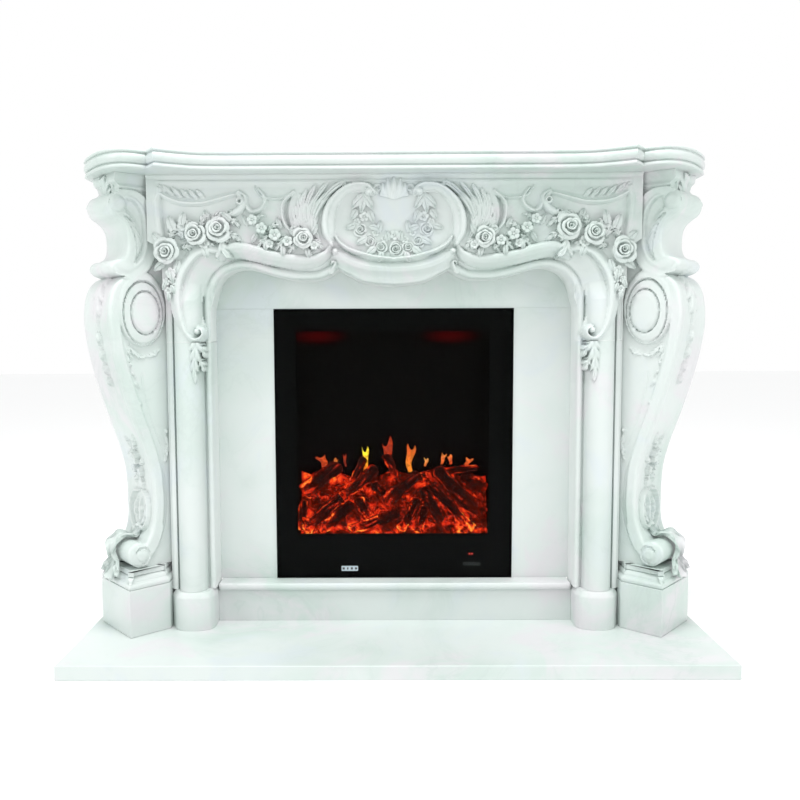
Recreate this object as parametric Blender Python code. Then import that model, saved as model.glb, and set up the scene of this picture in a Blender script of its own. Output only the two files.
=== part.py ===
# Carved marble fireplace mantel with canted scroll consoles, a shaped shelf and an electric fire.
# X runs along the shelf, Y runs back to the wall, Z is up, and the hearth's underside is at zero.
import math

import bmesh
import bpy
import numpy as np
from mathutils import Vector
from mathutils.geometry import delaunay_2d_cdt

# Driving sizes in metres
joint_gap = 0.0003
hearth_wing = 0.1987
hearth_depth = 0.400
hearth_thickness = 0.033
arris = 0.0015

fire_width = 0.600
fire_height = 0.686
fire_case_depth = 0.070
case_wall = 0.0015
glass_thickness = 0.005
glass_proud = 0.004
bezel_thickness = 0.002
window_left = 0.055
window_right = 0.060
window_top = 0.056
window_bottom = 0.114
log_radius = 0.014
log_bed_depth = 0.050
log_bed_height = 0.262
log_bed_lip = 0.105
log_bed_margin = 0.060
log_rows = 3
logs_in_row = 4

slip_reveal = 0.143
slip_lap = 0.014
slip_thickness = 0.020
header_height = 0.190

riser_height = 0.079
riser_setback = 0.041
sill_thickness = 0.018
sill_nose = 0.052

column_width = 0.108
column_standoff = 0.0757
column_joint_height = 0.735
column_bead = 0.015
column_round = 0.034
column_base_height = 0.092
column_base_front = 0.116
column_base_chamfer = 0.008

plinth_width = 0.160
plinth_block_height = 0.114
plinth_cap_height = 0.043
plinth_corner_out = 0.078
plinth_corner_front = 0.164
cant_angle = math.radians(48)

console_width = 0.130
console_relief = 0.014
console_sink = 0.004
console_band = 0.009
console_outer_out = 0.0375
console_neck_out = 0.009
console_foot_out = 0.010

frieze_field = 0.170
frieze_end_front = 0.178
frieze_edge = 0.150
shelf_thickness = 0.042
shelf_overhang = 0.065
shelf_ear_out = 0.194
shelf_flare_in = 0.014
shelf_notch_out = 0.011
shelf_flare = 0.160
console_height = 0.937

# Levels and plan lines worked out from the driving sizes
wall = hearth_depth / 2 - joint_gap
hearth_top = hearth_thickness + joint_gap
riser_top = hearth_top + riser_height
sill_top = riser_top + joint_gap + sill_thickness
fire_bottom = sill_top + joint_gap
fire_top = fire_bottom + fire_height
slip_face = wall - column_standoff + 2 * joint_gap
column_back = slip_face - joint_gap
fire_half = fire_width / 2
opening_half = fire_half + joint_gap + slip_reveal
column_outer = opening_half + column_width
hearth_width = 2 * (column_outer + hearth_wing)
cap_top = hearth_top + plinth_block_height + plinth_cap_height
console_bottom = cap_top + joint_gap
console_top = console_bottom + console_height
shelf_bottom = console_top + joint_gap
shelf_top = shelf_bottom + shelf_thickness
base_top = hearth_top + column_base_height
leg_joint = column_joint_height
frieze_bottom = leg_joint + joint_gap
frieze_top = console_top

front_way = Vector((math.sin(cant_angle), -math.cos(cant_angle), 0))
inner_way = Vector((-math.cos(cant_angle), -math.sin(cant_angle), 0))
plinth_corner = Vector((column_outer + plinth_corner_out, wall - column_standoff - plinth_corner_front, 0))
console_centre = plinth_corner - inner_way * (plinth_width / 2)
console_half = console_width / 2


# Materials
def make_material(name, colour, roughness, metallic=0.0):
    material = bpy.data.materials.new(name)
    material.use_nodes = True
    shader = material.node_tree.nodes["Principled BSDF"]
    shader.inputs["Base Color"].default_value = (*colour, 1.0)
    shader.inputs["Roughness"].default_value = roughness
    shader.inputs["Metallic"].default_value = metallic
    return material


# Clears the scene so that the file can be run again
def clear_scene():
    for item in list(bpy.data.objects):
        bpy.data.objects.remove(item, do_unlink=True)


# Turns a bmesh into an object with its faces pointing out
def finish(shape, name, material, sharp_angle=35):
    bmesh.ops.remove_doubles(shape, verts=shape.verts, dist=1e-6)
    bmesh.ops.dissolve_degenerate(shape, edges=shape.edges, dist=1e-6)
    bmesh.ops.triangulate(shape, faces=shape.faces)
    bmesh.ops.recalc_face_normals(shape, faces=shape.faces)
    mesh = bpy.data.meshes.new(name)
    shape.to_mesh(mesh)
    shape.free()
    mesh.shade_smooth()
    mesh.set_sharp_from_angle(angle=math.radians(sharp_angle))
    mesh.materials.append(material)
    body = bpy.data.objects.new(name, mesh)
    bpy.context.collection.objects.link(body)
    return body


# Closed solid between rings of points that share one count, capped at both ends
def loft(rings):
    shape = bmesh.new()
    rows = [[shape.verts.new(point) for point in ring] for ring in rings]
    count = len(rows[0])
    for lower, upper in zip(rows, rows[1:]):
        for i in range(count):
            j = (i + 1) % count
            shape.faces.new((lower[i], lower[j], upper[j], upper[i]))
    shape.faces.new(list(reversed(rows[0])))
    shape.faces.new(rows[-1])
    return shape


def mirrored(points, side):
    return [(side * x, y, z) for x, y, z in points]


# Rectangular block with small arrises worked on all its edges
def block(name, low, high, material, arris_width=arris):
    shape = bmesh.new()
    bmesh.ops.create_cube(shape, size=1.0)
    for vert in shape.verts:
        vert.co = Vector([low[k] if vert.co[k] < 0 else high[k] for k in range(3)])
    if arris_width > 0:
        bmesh.ops.bevel(shape, geom=shape.edges[:], offset=arris_width, segments=1, affect="EDGES")
    return finish(shape, name, material)


# Smooth curve through its points, as an array of steps points for each span
def smooth_curve(points, steps):
    points = np.array(points, float)
    padded = np.vstack([2 * points[0] - points[1], points, 2 * points[-1] - points[-2]])
    curve = []
    for a, b, c, d in zip(padded, padded[1:], padded[2:], padded[3:]):
        for t in np.arange(steps) / steps:
            curve.append(0.5 * (2 * b + (c - a) * t + (2 * a - 5 * b + 4 * c - d) * t * t
                                + (3 * b - a - 3 * c + d) * t ** 3))
    curve.append(points[-1])
    return np.array(curve)


# Points evenly spaced along a polyline
def even_steps(curve, step):
    lengths = np.r_[0, np.cumsum(np.linalg.norm(np.diff(curve, axis=0), axis=1))]
    count = max(2, round(lengths[-1] / step) + 1)
    marks = np.linspace(0, lengths[-1], count)
    return np.column_stack([np.interp(marks, lengths, curve[:, k]) for k in range(2)])


# Distance from each point to a polyline, and the share of the way along it
def distance_along(points, curve):
    starts = curve[:-1]
    ways = curve[1:] - starts
    lengths = np.maximum((ways ** 2).sum(1), 1e-12)
    best = np.full(len(points), 1e9)
    share = np.zeros(len(points))
    for k, (start, way, length) in enumerate(zip(starts, ways, lengths)):
        t = np.clip(((points - start) @ way) / length, 0, 1)
        gap = np.linalg.norm(points - start - t[:, None] * way, axis=1)
        nearer = gap < best
        best[nearer] = gap[nearer]
        share[nearer] = (k + t[nearer]) / len(ways)
    return best, share


# Line moved sideways by an amount
def beside(curve, amount):
    way = np.gradient(curve, axis=0)
    way /= np.maximum(np.linalg.norm(way, axis=1), 1e-9)[:, None]
    return curve + np.column_stack([-way[:, 1], way[:, 0]]) * amount


# Raised moulding along a curve
class Ridge:
    def __init__(self, points, width, height, step, flat=0.0):
        self.curve = smooth_curve(points, 6)
        self.half = width / 2
        self.height = height
        self.step = step
        self.flat = flat

    def lift(self, points):
        gap, share = distance_along(points, self.curve)
        across = np.clip((gap / self.half - self.flat) / (1 - self.flat), 0, 1)
        return np.where(gap < self.half, self.height * np.sqrt(1 - across ** 2), 0)

    def lines(self):
        spine = even_steps(self.curve, self.step)
        edge = self.half * 1.02
        return [(beside(spine, -edge), False), (spine, False), (beside(spine, edge), False)]


# Raised boss such as a rose, a leaf or a volute eye, with petals around its rim
class Boss:
    def __init__(self, centre, radii, height, turn=0.0, petals=0, sides=8, flat=0.0):
        self.centre = np.array(centre, float)
        self.radii = np.array(radii, float)
        self.height = height
        self.turn = math.radians(turn)
        self.petals = petals
        self.sides = sides
        self.flat = flat

    def local(self, points):
        offset = points - self.centre
        c, s = math.cos(self.turn), math.sin(self.turn)
        return np.column_stack([offset[:, 0] * c + offset[:, 1] * s, offset[:, 1] * c - offset[:, 0] * s])

    def lift(self, points):
        place = self.local(points) / self.radii
        radius = np.linalg.norm(place, axis=1)
        angle = np.arctan2(place[:, 1], place[:, 0])
        past = np.clip((radius - self.flat) / (1 - self.flat), 0, 1)
        dome = self.height * np.sqrt(1 - past ** 2)
        if self.petals:
            dome = dome * (1 + 0.14 * np.cos(self.petals * angle) * np.clip(radius, 0, 1))
        return np.where(radius < 1, dome, 0)

    def ring(self, share, sides):
        angle = np.arange(sides) * 2 * math.pi / sides
        c, s = math.cos(self.turn), math.sin(self.turn)
        x = self.radii[0] * share * np.cos(angle)
        z = self.radii[1] * share * np.sin(angle)
        return self.centre + np.column_stack([x * c - z * s, x * s + z * c])

    def lines(self):
        inner = max(0.6, self.flat)
        inner_sides = self.sides if self.flat else max(5, self.sides // 2)
        rings = [(self.ring(1.02, self.sides), True), (self.ring(inner, inner_sides), True)]
        return rings + [(self.centre[None, :], False)]


# Triangles over an outline that follow the lines of the carving
def carved_face(outline, features, fill_step):
    low, high = outline.min(0), outline.max(0)
    points = [Vector(p) for p in outline]
    edges = []
    for feature in features:
        for line, closed in feature.lines():
            first = len(points)
            points += [Vector(p) for p in line]
            edges += [(first + i, first + i + 1) for i in range(len(line) - 1)]
            if closed:
                edges.append((first + len(line) - 1, first))
    rows = np.arange(low[1] + fill_step / 2, high[1], fill_step * 0.87)
    for k, z in enumerate(rows):
        for x in np.arange(low[0] + fill_step * (0.5 + 0.5 * (k % 2)), high[0], fill_step):
            points.append(Vector((x, z)))
    boundary = [list(range(len(outline)))]
    verts, _, faces, _, _, _ = delaunay_2d_cdt(points, edges, boundary, 1, 1e-5, False)
    return np.array([(v.x, v.y) for v in verts]), faces


# True for the points that lie inside a closed outline
def inside(points, outline):
    x, z = points[:, 0], points[:, 1]
    within = np.zeros(len(points), bool)
    for (x0, z0), (x1, z1) in zip(outline, np.roll(outline, -1, axis=0)):
        crosses = (z0 > z) != (z1 > z)
        at = x0 + (z - z0) * (x1 - x0) / (z1 - z0 if z1 != z0 else 1e-12)
        within ^= crosses & (x < at)
    return within


# Vertices in order around the edge of a triangulated face
def edge_loop(faces):
    following = {}
    for face in faces:
        for a, b in zip(face, face[1:] + face[:1]):
            following[(a, b)] = True
    after = {a: b for a, b in following if (b, a) not in following}
    loop = [min(after)]
    while after[loop[-1]] != loop[0]:
        loop.append(after[loop[-1]])
    return loop


# Carved face with only the vertices and triangles that its outline holds
def carved_plate(outline, features, fill_step):
    points, faces = carved_face(outline, features, fill_step)
    centres = np.array([points[list(face)].mean(0) for face in faces])
    kept = [list(face) for face, good in zip(faces, inside(centres, outline)) if good]
    used = sorted({i for face in kept for i in face})
    number = {old: new for new, old in enumerate(used)}
    return points[used], [[number[i] for i in face] for face in kept]


# Outline with a point at least every step along its sides
def filled_outline(corners, step):
    points = []
    for a, b in zip(corners, np.roll(corners, -1, axis=0)):
        count = max(1, round(float(np.linalg.norm(b - a)) / step))
        points += [a + (b - a) * k / count for k in range(count)]
    return np.array(points)


# Inward steps of an outline, one ring for each step and height of a moulding
def moulding_rings(outline, profile, base):
    outline = np.array(outline, float)
    edges = np.roll(outline, -1, axis=0) - outline
    edges /= np.linalg.norm(edges, axis=1)[:, None]
    normals = np.column_stack([-edges[:, 1], edges[:, 0]])
    before = np.roll(normals, 1, axis=0)
    mitre = (normals + before) / (1 + (normals * before).sum(1))[:, None]
    rings = []
    for inset, height in profile:
        ring = outline + mitre * inset
        rings.append([(x, y, base + height) for x, y in ring])
    return rings


# Half round from one end of a width to the other, bulging to the front
def round_points(start, end, depth, rise, count):
    centre = (start + end) / 2
    half = (end - start) / 2
    angles = np.linspace(math.pi, 0, count)
    return [(centre + half * math.cos(a), depth - rise * math.sin(a)) for a in angles]


# Plan of a jamb: the bead next to the slip, the half-round shaft and the outer flat
def column_plan():
    inner = opening_half
    ground = wall - frieze_edge
    bead_end = inner + column_bead
    shaft_start = bead_end + 0.0055
    shaft_end = shaft_start + 2 * column_round
    flat_end = column_outer - 0.0055
    plan = [(inner, column_back)]
    plan += round_points(inner, bead_end, ground + 0.010, column_bead / 2, 6)
    plan.append((bead_end + 0.003, ground + 0.012))
    plan += round_points(shaft_start, shaft_end, ground + 0.004, column_round, 11)
    plan.append((shaft_end + 0.0025, ground + 0.008))
    plan += [(shaft_end + 0.004, ground - 0.002), (flat_end, ground - 0.002)]
    plan += [(flat_end + 0.001, ground + 0.004), (column_outer, ground + 0.004), (column_outer, column_back)]
    return plan


# Leaf that hangs from the frieze's scroll down the face of the shaft
def pendant_leaf():
    centre = opening_half + 0.032
    top = leg_joint
    return [
        Boss((centre, top - 0.014), (0.027, 0.015), 0.008),
        Boss((centre + 0.001, top - 0.045), (0.023, 0.022), 0.009),
        Boss((centre + 0.002, top - 0.075), (0.012, 0.022), 0.007),
    ]


def build_column(side, name, material):
    plan = column_plan()
    leaf = pendant_leaf()
    bottom = base_top + joint_gap
    top = leg_joint
    levels = [bottom, top - 0.100, top - 0.085, top - 0.065, top - 0.045, top - 0.028, top - 0.014, top]
    rings = []
    for level in levels:
        places = np.array([(x, level) for x, _ in plan])
        lift = np.max([part.lift(places) for part in leaf], axis=0)
        lift[[0, -1]] = 0
        rings.append(mirrored([(x, y - rise, level) for (x, y), rise in zip(plan, lift)], side))
    return finish(loft(rings), name, material)


# Block under a jamb, with canted corners and a chamfered top
def build_column_base(side, name, material):
    inner = opening_half
    front = column_back - column_base_front
    width = column_outer - inner
    cant = 0.20 * width
    plan = [
        (inner, column_back), (inner, front + 1.3 * cant), (inner + 0.4 * cant, front + 0.5 * cant),
        (inner + 1.5 * cant, front), (column_outer - 1.7 * cant, front),
        (column_outer - 0.8 * cant, front + 0.5 * cant), (column_outer - 0.3 * cant, front + 1.5 * cant),
        (column_outer, front + 2.0 * cant), (column_outer, column_back),
    ]
    profile = [(0, 0), (0, column_base_height - 1.6 * column_base_chamfer),
               (column_base_chamfer, column_base_height)]
    rings = moulding_rings(plan, profile, hearth_top)
    return finish(loft([mirrored(ring, side) for ring in rings]), name, material)


# Where a line through a point meets a plane of constant X or Y
def meet(point, way, axis, value):
    return point + way * ((value - point[axis]) / way[axis])


# Canted block with a torus, a cove and a fillet, cut off at the wall and at the jamb
def build_plinth(side, name, material):
    inner_x = column_outer + joint_gap
    near = plinth_corner
    far = near - inner_way * plinth_width
    near_back = meet(near, -front_way, 0, inner_x)
    far_back = meet(far, -front_way, 1, wall)
    plan = [near, far, far_back, Vector((inner_x, wall, 0)), near_back]
    block_height = plinth_block_height
    cap = plinth_cap_height
    profile = [(0, 0), (0, block_height), (0.004, block_height)]
    profile += [(0.0045 - 0.004 * math.sin(a), block_height + 0.007 - 0.007 * math.cos(a))
                for a in np.linspace(0.2, math.pi - 0.2, 5)]
    profile += [(0.006, block_height + 0.015)]
    profile += [(0.008 + 0.009 * (1 - math.cos(a)), block_height + 0.016 + 0.014 * math.sin(a))
                for a in np.linspace(0.1, math.pi / 2, 4)]
    profile += [(0.013, block_height + 0.031), (0.013, block_height + cap)]
    rings = moulding_rings([(p.x, p.y) for p in plan], profile, hearth_top)
    return finish(loft([mirrored(ring, side) for ring in rings]), name, material)


# Console outline seen from its side: (forward, height) in shares of the console's height
def console_outline():
    def span(points, steps):
        return list(smooth_curve(points, steps))[:-1]

    outline = [(-4, 937), (-4, 918), (-12, 911), (-12, 896)]
    outline += span([(0, 892), (13, 877), (15, 862), (9, 844), (-4, 834)], 1)
    outline += span([(-12, 830), (-26, 816), (-32, 795), (-31, 765), (-20, 745), (-1, 736)], 1)
    outline += span([(8, 733), (13, 723), (9, 710), (-6, 703), (-18, 701)], 1)
    outline += span([(-22, 700), (2, 678), (17, 635), (16, 575), (-2, 470), (-40, 350), (-69, 263),
                     (-80, 190), (-81, 145), (-78, 110), (-67, 72), (-57, 57)], 2)
    outline += span([(-57, 57), (-43, 62), (-28, 61), (-14, 52), (-9.5, 38), (-15, 18), (-32, 7), (-54, 2)], 1)
    outline += [(-60, 0), (-205, 0), (-205, 937)]
    return place_console(outline)


# Console carving is drawn in millimetres on a console 937 mm high and keeps its proportions
def place_console(points):
    scale = console_height / 937
    return [(d * scale, console_bottom + z * scale) for d, z in points]


# Mouldings and bosses on both side faces of a console
def console_side_features():
    def ridge(points, width, height, flat=0.0, step=0.034):
        return Ridge(place_console(points), width, height, step, flat)

    def boss(centre, radii, height, turn=0.0, sides=8, flat=0.0):
        return Boss(place_console([centre])[0], radii, height, turn, 0, sides, flat)

    band = console_band
    return [
        ridge([(-12, 650), (2, 610), (1, 560), (-20, 455), (-55, 345), (-83, 262), (-92, 190), (-94, 140),
               (-90, 100), (-80, 62), (-62, 34), (-36, 26), (-26, 40)], 0.026, band, 0.75),
        ridge([(-24, 893), (-49, 878), (-72, 845), (-80, 800), (-74, 750), (-56, 715), (-24, 712)],
              0.024, band, 0.75),
        ridge([(-24, 830), (-46, 812), (-54, 785), (-50, 752), (-34, 738)], 0.030, 0.6 * band, 0.4),
        boss((-8, 865), (0.023, 0.023), 1.4 * band, 0, 8, 0.8),
        boss((-62, 625), (0.061, 0.089), 1.2 * band, 0, 16, 0.92),
        boss((-64, 616), (0.0375, 0.053), 1.55 * band, 0, 12, 0.85),
        boss((-43, 31), (0.014, 0.014), 1.2 * band, 0, 6),
        boss((-30, 560), (0.014, 0.040), band, -25),
        boss((-25, 470), (0.012, 0.045), 0.8 * band, -15),
        boss((-100, 270), (0.008, 0.034), 0.7 * band, 12, 6),
    ]


# How much further the outer side of a console lies from the middle of its plinth than the inner side
def outer_extra(heights):
    marks = console_bottom + np.array([25, 140, 655, 735]) * console_height / 937
    return np.interp(heights, marks, (console_foot_out, console_outer_out, console_outer_out, console_neck_out))


# Bosses down the middle of a console's front: (across, height), radii and height
def console_front_features():
    def boss(height, across, tall, rise, petals=0):
        return Boss((0, console_bottom + height * console_height / 937), (across, tall), rise, 0, petals)

    return [
        boss(908, 0.024, 0.020, 0.010), boss(660, 0.034, 0.050, 0.008), boss(570, 0.018, 0.060, 0.007),
        boss(500, 0.012, 0.035, 0.005), boss(275, 0.040, 0.045, 0.010, 5), boss(190, 0.045, 0.045, 0.009),
        boss(90, 0.050, 0.060, 0.010, 5), boss(30, 0.055, 0.040, 0.009),
    ]


# Console with carved sides and front, cut off at the wall and at the jamb
def build_console(side, name, material):
    outline = np.array(console_outline())
    features = console_side_features()
    points, faces = carved_plate(filled_outline(outline, 0.090), features, 0.085)
    base_half = console_half - console_relief
    rise = np.max([part.lift(points) for part in features], axis=0)
    rise = np.minimum(base_half + rise, console_half) - base_half
    loop = edge_loop(faces)
    rim = points[loop]
    way = np.roll(rim, -1, axis=0) - np.roll(rim, 1, axis=0)
    way /= np.maximum(np.linalg.norm(way, axis=1), 1e-9)[:, None]
    outward = np.column_stack([way[:, 1], -way[:, 0]])
    back_line = place_console([(-100, 0)])[0][0]
    ends = (rim[:, 1] < console_bottom + 0.004) | (rim[:, 1] > console_top - 0.004)
    front = (rim[:, 0] > back_line) & ~ends
    shape = bmesh.new()

    def spot(place, across):
        base = console_centre + inner_way * across + front_way * float(place[0])
        return shape.verts.new((side * base.x, base.y, float(place[1])))

    extra = outer_extra(points[:, 1])
    near = [spot(p, base_half + h) for p, h in zip(points, rise)]
    far = [spot(p, -base_half - h - wide) for p, h, wide in zip(points, rise, extra)]
    for a, b, c in faces:
        shape.faces.new((near[a], near[b], near[c]))
        shape.faces.new((far[c], far[b], far[a]))
    shares = (0.84, 0.42, 0.0, -0.42, -0.84)
    strips = [[near[i] for i in loop]]
    bosses = console_front_features()
    for share in shares:
        across = share * (base_half + rise[loop] + extra[loop] / 2)
        sunk = np.where(abs(share) < 0.85, -console_sink, 0.0)
        lift = np.max([part.lift(np.column_stack([across, rim[:, 1]])) for part in bosses], axis=0)
        shift = np.where(front, sunk + lift, 0.0)
        across = across - extra[loop] / 2
        strips.append([spot(p, float(t)) for p, t in zip(rim + outward * shift[:, None], across)])
    strips.append([far[i] for i in loop])
    for upper, lower in zip(strips, strips[1:]):
        for i in range(len(loop)):
            j = (i + 1) % len(loop)
            shape.faces.new((upper[i], upper[j], lower[j], lower[i]))
    cut_off(shape, (side * (column_outer + joint_gap), 0, 0), (-side, 0, 0))
    cut_off(shape, (0, wall, 0), (0, 1, 0))
    return finish(shape, name, material)


# Cuts away what lies beyond a plane and closes the cut
def cut_off(shape, point, normal):
    geometry = shape.verts[:] + shape.edges[:] + shape.faces[:]
    cut = bmesh.ops.bisect_plane(shape, geom=geometry, dist=1e-6, plane_co=point, plane_no=normal,
                                 clear_outer=True)
    edges = [item for item in cut["geom_cut"] if isinstance(item, bmesh.types.BMEdge)]
    bmesh.ops.holes_fill(shape, edges=edges, sides=0)


# The frieze's carving is drawn in millimetres from the middle and the hearth, on the first mantel's sizes
def place_frieze(points):
    drawn_x = (0, 443.3, 551.3, 600)
    real_x = (0, opening_half, column_outer, column_outer + 0.0487)
    points = np.array(points, float)
    x = np.interp(points[:, 0], drawn_x, real_x)
    z = np.interp(points[:, 1], (735, 1127), (frieze_bottom, frieze_top))
    return np.column_stack([x, z])


def arch_edge():
    leg = smooth_curve([(443.3, 735), (443.3, 790), (442, 835), (433, 874), (410, 901), (365, 913), (306, 899),
                        (242, 885), (182, 886), (136, 910)], 2)
    crown = smooth_curve([(136, 910), (107, 895), (54, 875), (0, 870)], 3)
    leg[0] = (443.3, 735)
    return place_frieze(np.vstack([leg[:-1], crown]))


def frieze_features():
    def ridge(points, width, height, flat=0.0, step=0.025):
        return Ridge(place_frieze(points), width / 1000, height / 1000, step, flat)

    def boss(centre, radii, height, turn=0.0, petals=0, sides=8):
        spot = place_frieze([centre])[0]
        return Boss(spot, (radii[0] / 1000, radii[1] / 1000), height / 1000, turn, petals, sides)

    return [
        ridge([(0, 1121), (200, 1121), (400, 1121), (585, 1121)], 10, 12, 0.5, 0.06),
        ridge([(0, 1110), (200, 1110), (400, 1110), (585, 1110)], 6, 6, 0.2, 0.06),
        ridge([(57, 1087), (72, 1098), (102, 1094), (132, 1070), (152, 1035), (156, 1005), (142, 978)], 28, 14),
        ridge([(140, 977), (101, 954), (43, 936), (0, 931)], 13, 13),
        ridge([(0, 909), (60, 915), (112, 933), (150, 958), (168, 985)], 40, 12, 0.0, 0.024),
        boss((0, 1096), (25, 22), 24, 0, 9, 9), boss((37, 1096), (13, 12), 18),
        boss((139, 949), (8, 8), 12, 0, 0, 6),
        boss((88, 1052), (30, 18), 15, 60), boss((79, 1006), (20, 19), 18, 0, 5),
        boss((58, 977), (18, 16), 15, 0, 5), boss((31, 960), (17, 15), 15, 0, 5),
        boss((0, 955), (22, 20), 22, 0, 5), boss((0, 988), (13, 11), 14),
        ridge([(183, 983), (193, 1012), (184, 1055), (162, 1088), (132, 1108)], 34, 20),
        ridge([(196, 985), (214, 1020), (214, 1058), (202, 1094)], 22, 15),
        ridge([(238, 1088), (257, 1064), (260, 1037), (243, 998)], 16, 12),
        ridge([(322, 1097), (306, 1078), (272, 1077), (240, 1088)], 9, 8),
        ridge([(361, 1087), (349, 1068), (341, 1048), (331, 1043), (318, 1048), (306, 1075)], 9, 8),
        ridge([(548, 1098), (513, 1078), (466, 1072), (419, 1080), (366, 1089)], 14, 10),
        ridge([(546, 1092), (559, 1066), (555, 1030), (552, 994)], 12, 10),
        boss((505, 1092), (44, 10), 10, -8), boss((363, 1066), (14, 13), 16), boss((386, 1041), (9, 9), 12),
        boss((533, 950), (17, 28), 28, 0, 5), boss((470, 991), (25, 25), 26, 0, 5),
        boss((413, 1004), (27, 26), 26, 0, 5), boss((213, 977), (25, 24), 26, 0, 5),
        boss((333, 1022), (15, 13), 15, 0, 5), boss((311, 1002), (16, 13), 16, 0, 5),
        boss((281, 987), (18, 15), 16, 0, 5), boss((248, 975), (16, 13), 14),
        boss((528, 900), (12, 15), 14, 20), boss((535, 856), (8, 16), 10),
        ridge([(405, 955), (369, 967), (340, 962), (300, 952), (258, 946)], 26, 13),
        ridge([(418, 958), (450, 958), (487, 930), (508, 890), (517, 840), (512, 785), (495, 752), (473, 742)],
              24, 18, 0.2),
        ridge([(441, 946), (460, 925), (478, 887), (483, 849), (481, 811), (467, 780)], 16, 9),
        boss((471, 763), (15, 15), 20),
    ]


# Depth of the frieze's ground: a bead and a cove along the arch, rising to the flat field,
# and down each leg the jamb's own mouldings, which run on below the joint
def frieze_ground(points, edge):
    gap, _ = distance_along(points, edge)
    rise = frieze_field - frieze_edge
    bead = column_bead
    roll = bead / 2 * np.sqrt(np.clip(1 - ((gap - bead / 2) / (bead / 2)) ** 2, 0, 1)) - 0.010
    cove = np.clip((gap - bead) / 0.030, 0, 1)
    slope = -0.012 + (rise + 0.012) * (1 - np.sqrt(1 - cove ** 2))
    arch = frieze_edge + np.where(gap < bead, roll, slope)
    plan = column_plan()[1:-1]
    shaft = np.interp(points[:, 0], [x for x, _ in plan], [wall - y for _, y in plan])
    drop = np.clip((leg_joint + 0.150 - points[:, 1]) / 0.060, 0, 1) * (points[:, 0] > opening_half - 1e-6)
    return arch + (shaft - arch) * drop


# Places across a leg where the jamb's mouldings change
def leg_lines():
    shaft = opening_half + column_bead + 0.0055
    return [opening_half + column_bead + 0.003, shaft, shaft + 0.3 * column_round, shaft + column_round,
            shaft + 1.7 * column_round, shaft + 2 * column_round + 0.004]


class LegLine:
    def __init__(self, x):
        self.line = np.array([(x, z) for z in np.linspace(frieze_bottom, leg_joint + 0.130, 5)])

    def lines(self):
        return [(self.line, False)]


class EdgeLine:
    def __init__(self, edge, amount):
        self.line = beside(even_steps(edge, 0.030), amount)

    def lines(self):
        return [(self.line, False)]


# Frieze with its carving, its arched edge and a leg at each end that stands on the jamb
def build_frieze(name, material):
    edge = arch_edge()
    y_end = wall - frieze_end_front
    near_side = console_centre + inner_way * (console_half + joint_gap)
    end_x = meet(near_side, front_way, 1, y_end).x
    top, shoulder, elbow = frieze_top, frieze_top - 0.152, frieze_top - 0.172
    outer = [(0, top), (end_x, top), (end_x, shoulder), (column_outer, elbow), (column_outer, frieze_bottom)]
    outline = np.vstack([filled_outline(np.array(outer), 0.050)[:-1], edge])
    corner = np.argmax((np.abs(outline - np.array(outer[-1])) < 1e-9).all(1))
    outline = np.vstack([outline[:corner + 1], edge])
    features = frieze_features()
    guides = [EdgeLine(edge, -amount) for amount in (0.0075, column_bead, 0.045)]
    guides += [LegLine(x) for x in leg_lines()]
    points, faces = carved_plate(outline, features + guides, 0.048)
    depth = frieze_ground(points, edge)
    rise = np.max([part.lift(points) for part in features], axis=0)
    clear = np.clip((end_x - points[:, 0]) / 0.008, 0, 1)
    depth = depth + rise * clear
    past = points[:, 0] > column_outer
    depth = np.where(past, np.clip((points[:, 0] - column_outer) / 0.012, 0, 1)
                     * (frieze_end_front - depth) + depth, depth)
    shape = bmesh.new()
    loop = edge_loop(faces)
    for side in (-1, 1):
        front = [shape.verts.new((side * x, wall - y, z)) for (x, z), y in zip(points, depth)]
        for a, b, c in faces:
            shape.faces.new((front[a], front[b], front[c]))
        rim = [i for i in loop]
        start = next(k for k, i in enumerate(rim) if points[i][0] < 1e-7 and points[i][1] > top - 1e-6)
        rim = rim[start:] + rim[:start]
        if points[rim[1]][0] < 1e-7:
            rim = [rim[0]] + rim[:0:-1]
        rim = rim[:next(k for k, i in enumerate(rim) if k > 0 and points[i][0] < 1e-7) + 1]
        middle = []
        back = []
        for i in rim:
            x, z = points[i]
            reach = min(x, column_outer)
            fold = meet(near_side, front_way, 0, column_outer).y if x > column_outer + 1e-6 else column_back
            back.append(shape.verts.new((side * reach, column_back, z)))
            middle.append(shape.verts.new((side * reach, fold, z)))
        for k in range(len(rim) - 1):
            shape.faces.new((front[rim[k]], front[rim[k + 1]], middle[k + 1], middle[k]))
            shape.faces.new((middle[k], middle[k + 1], back[k + 1], back[k]))
        shape.faces.new(back)
    return finish(shape, name, material)


# Shelf outline: straight in the middle, flared to a corner at each end, then a rounded ear
def shelf_outline():
    front = wall - frieze_field - shelf_overhang
    flare = column_outer - shelf_flare_in
    notch = column_outer + shelf_notch_out
    ear = shelf_ear_out - shelf_notch_out
    sweep = shelf_flare
    centre = [(0, front), (flare - sweep, front)]
    centre += list(smooth_curve([(flare - 0.8 * sweep, front - 0.001), (flare - 0.53 * sweep, front - 0.006),
                                 (flare - 0.22 * sweep, front - 0.026), (flare, front - 0.046)], 2))
    lobe = smooth_curve([(notch, front - 0.014), (notch + 0.13 * ear, front - 0.030),
                         (notch + 0.27 * ear, front - 0.037), (notch + 0.44 * ear, front - 0.028),
                         (notch + 0.62 * ear, front - 0.002), (notch + 0.78 * ear, front + 0.034),
                         (notch + 0.91 * ear, front + 0.070), (notch + ear, front + 0.105)], 2)
    right = centre + list(lobe) + [(notch + ear, wall)]
    left = [(-x, y) for x, y in reversed(right) if x > 0]
    return [(float(x), float(y)) for x, y in left + right]


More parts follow.
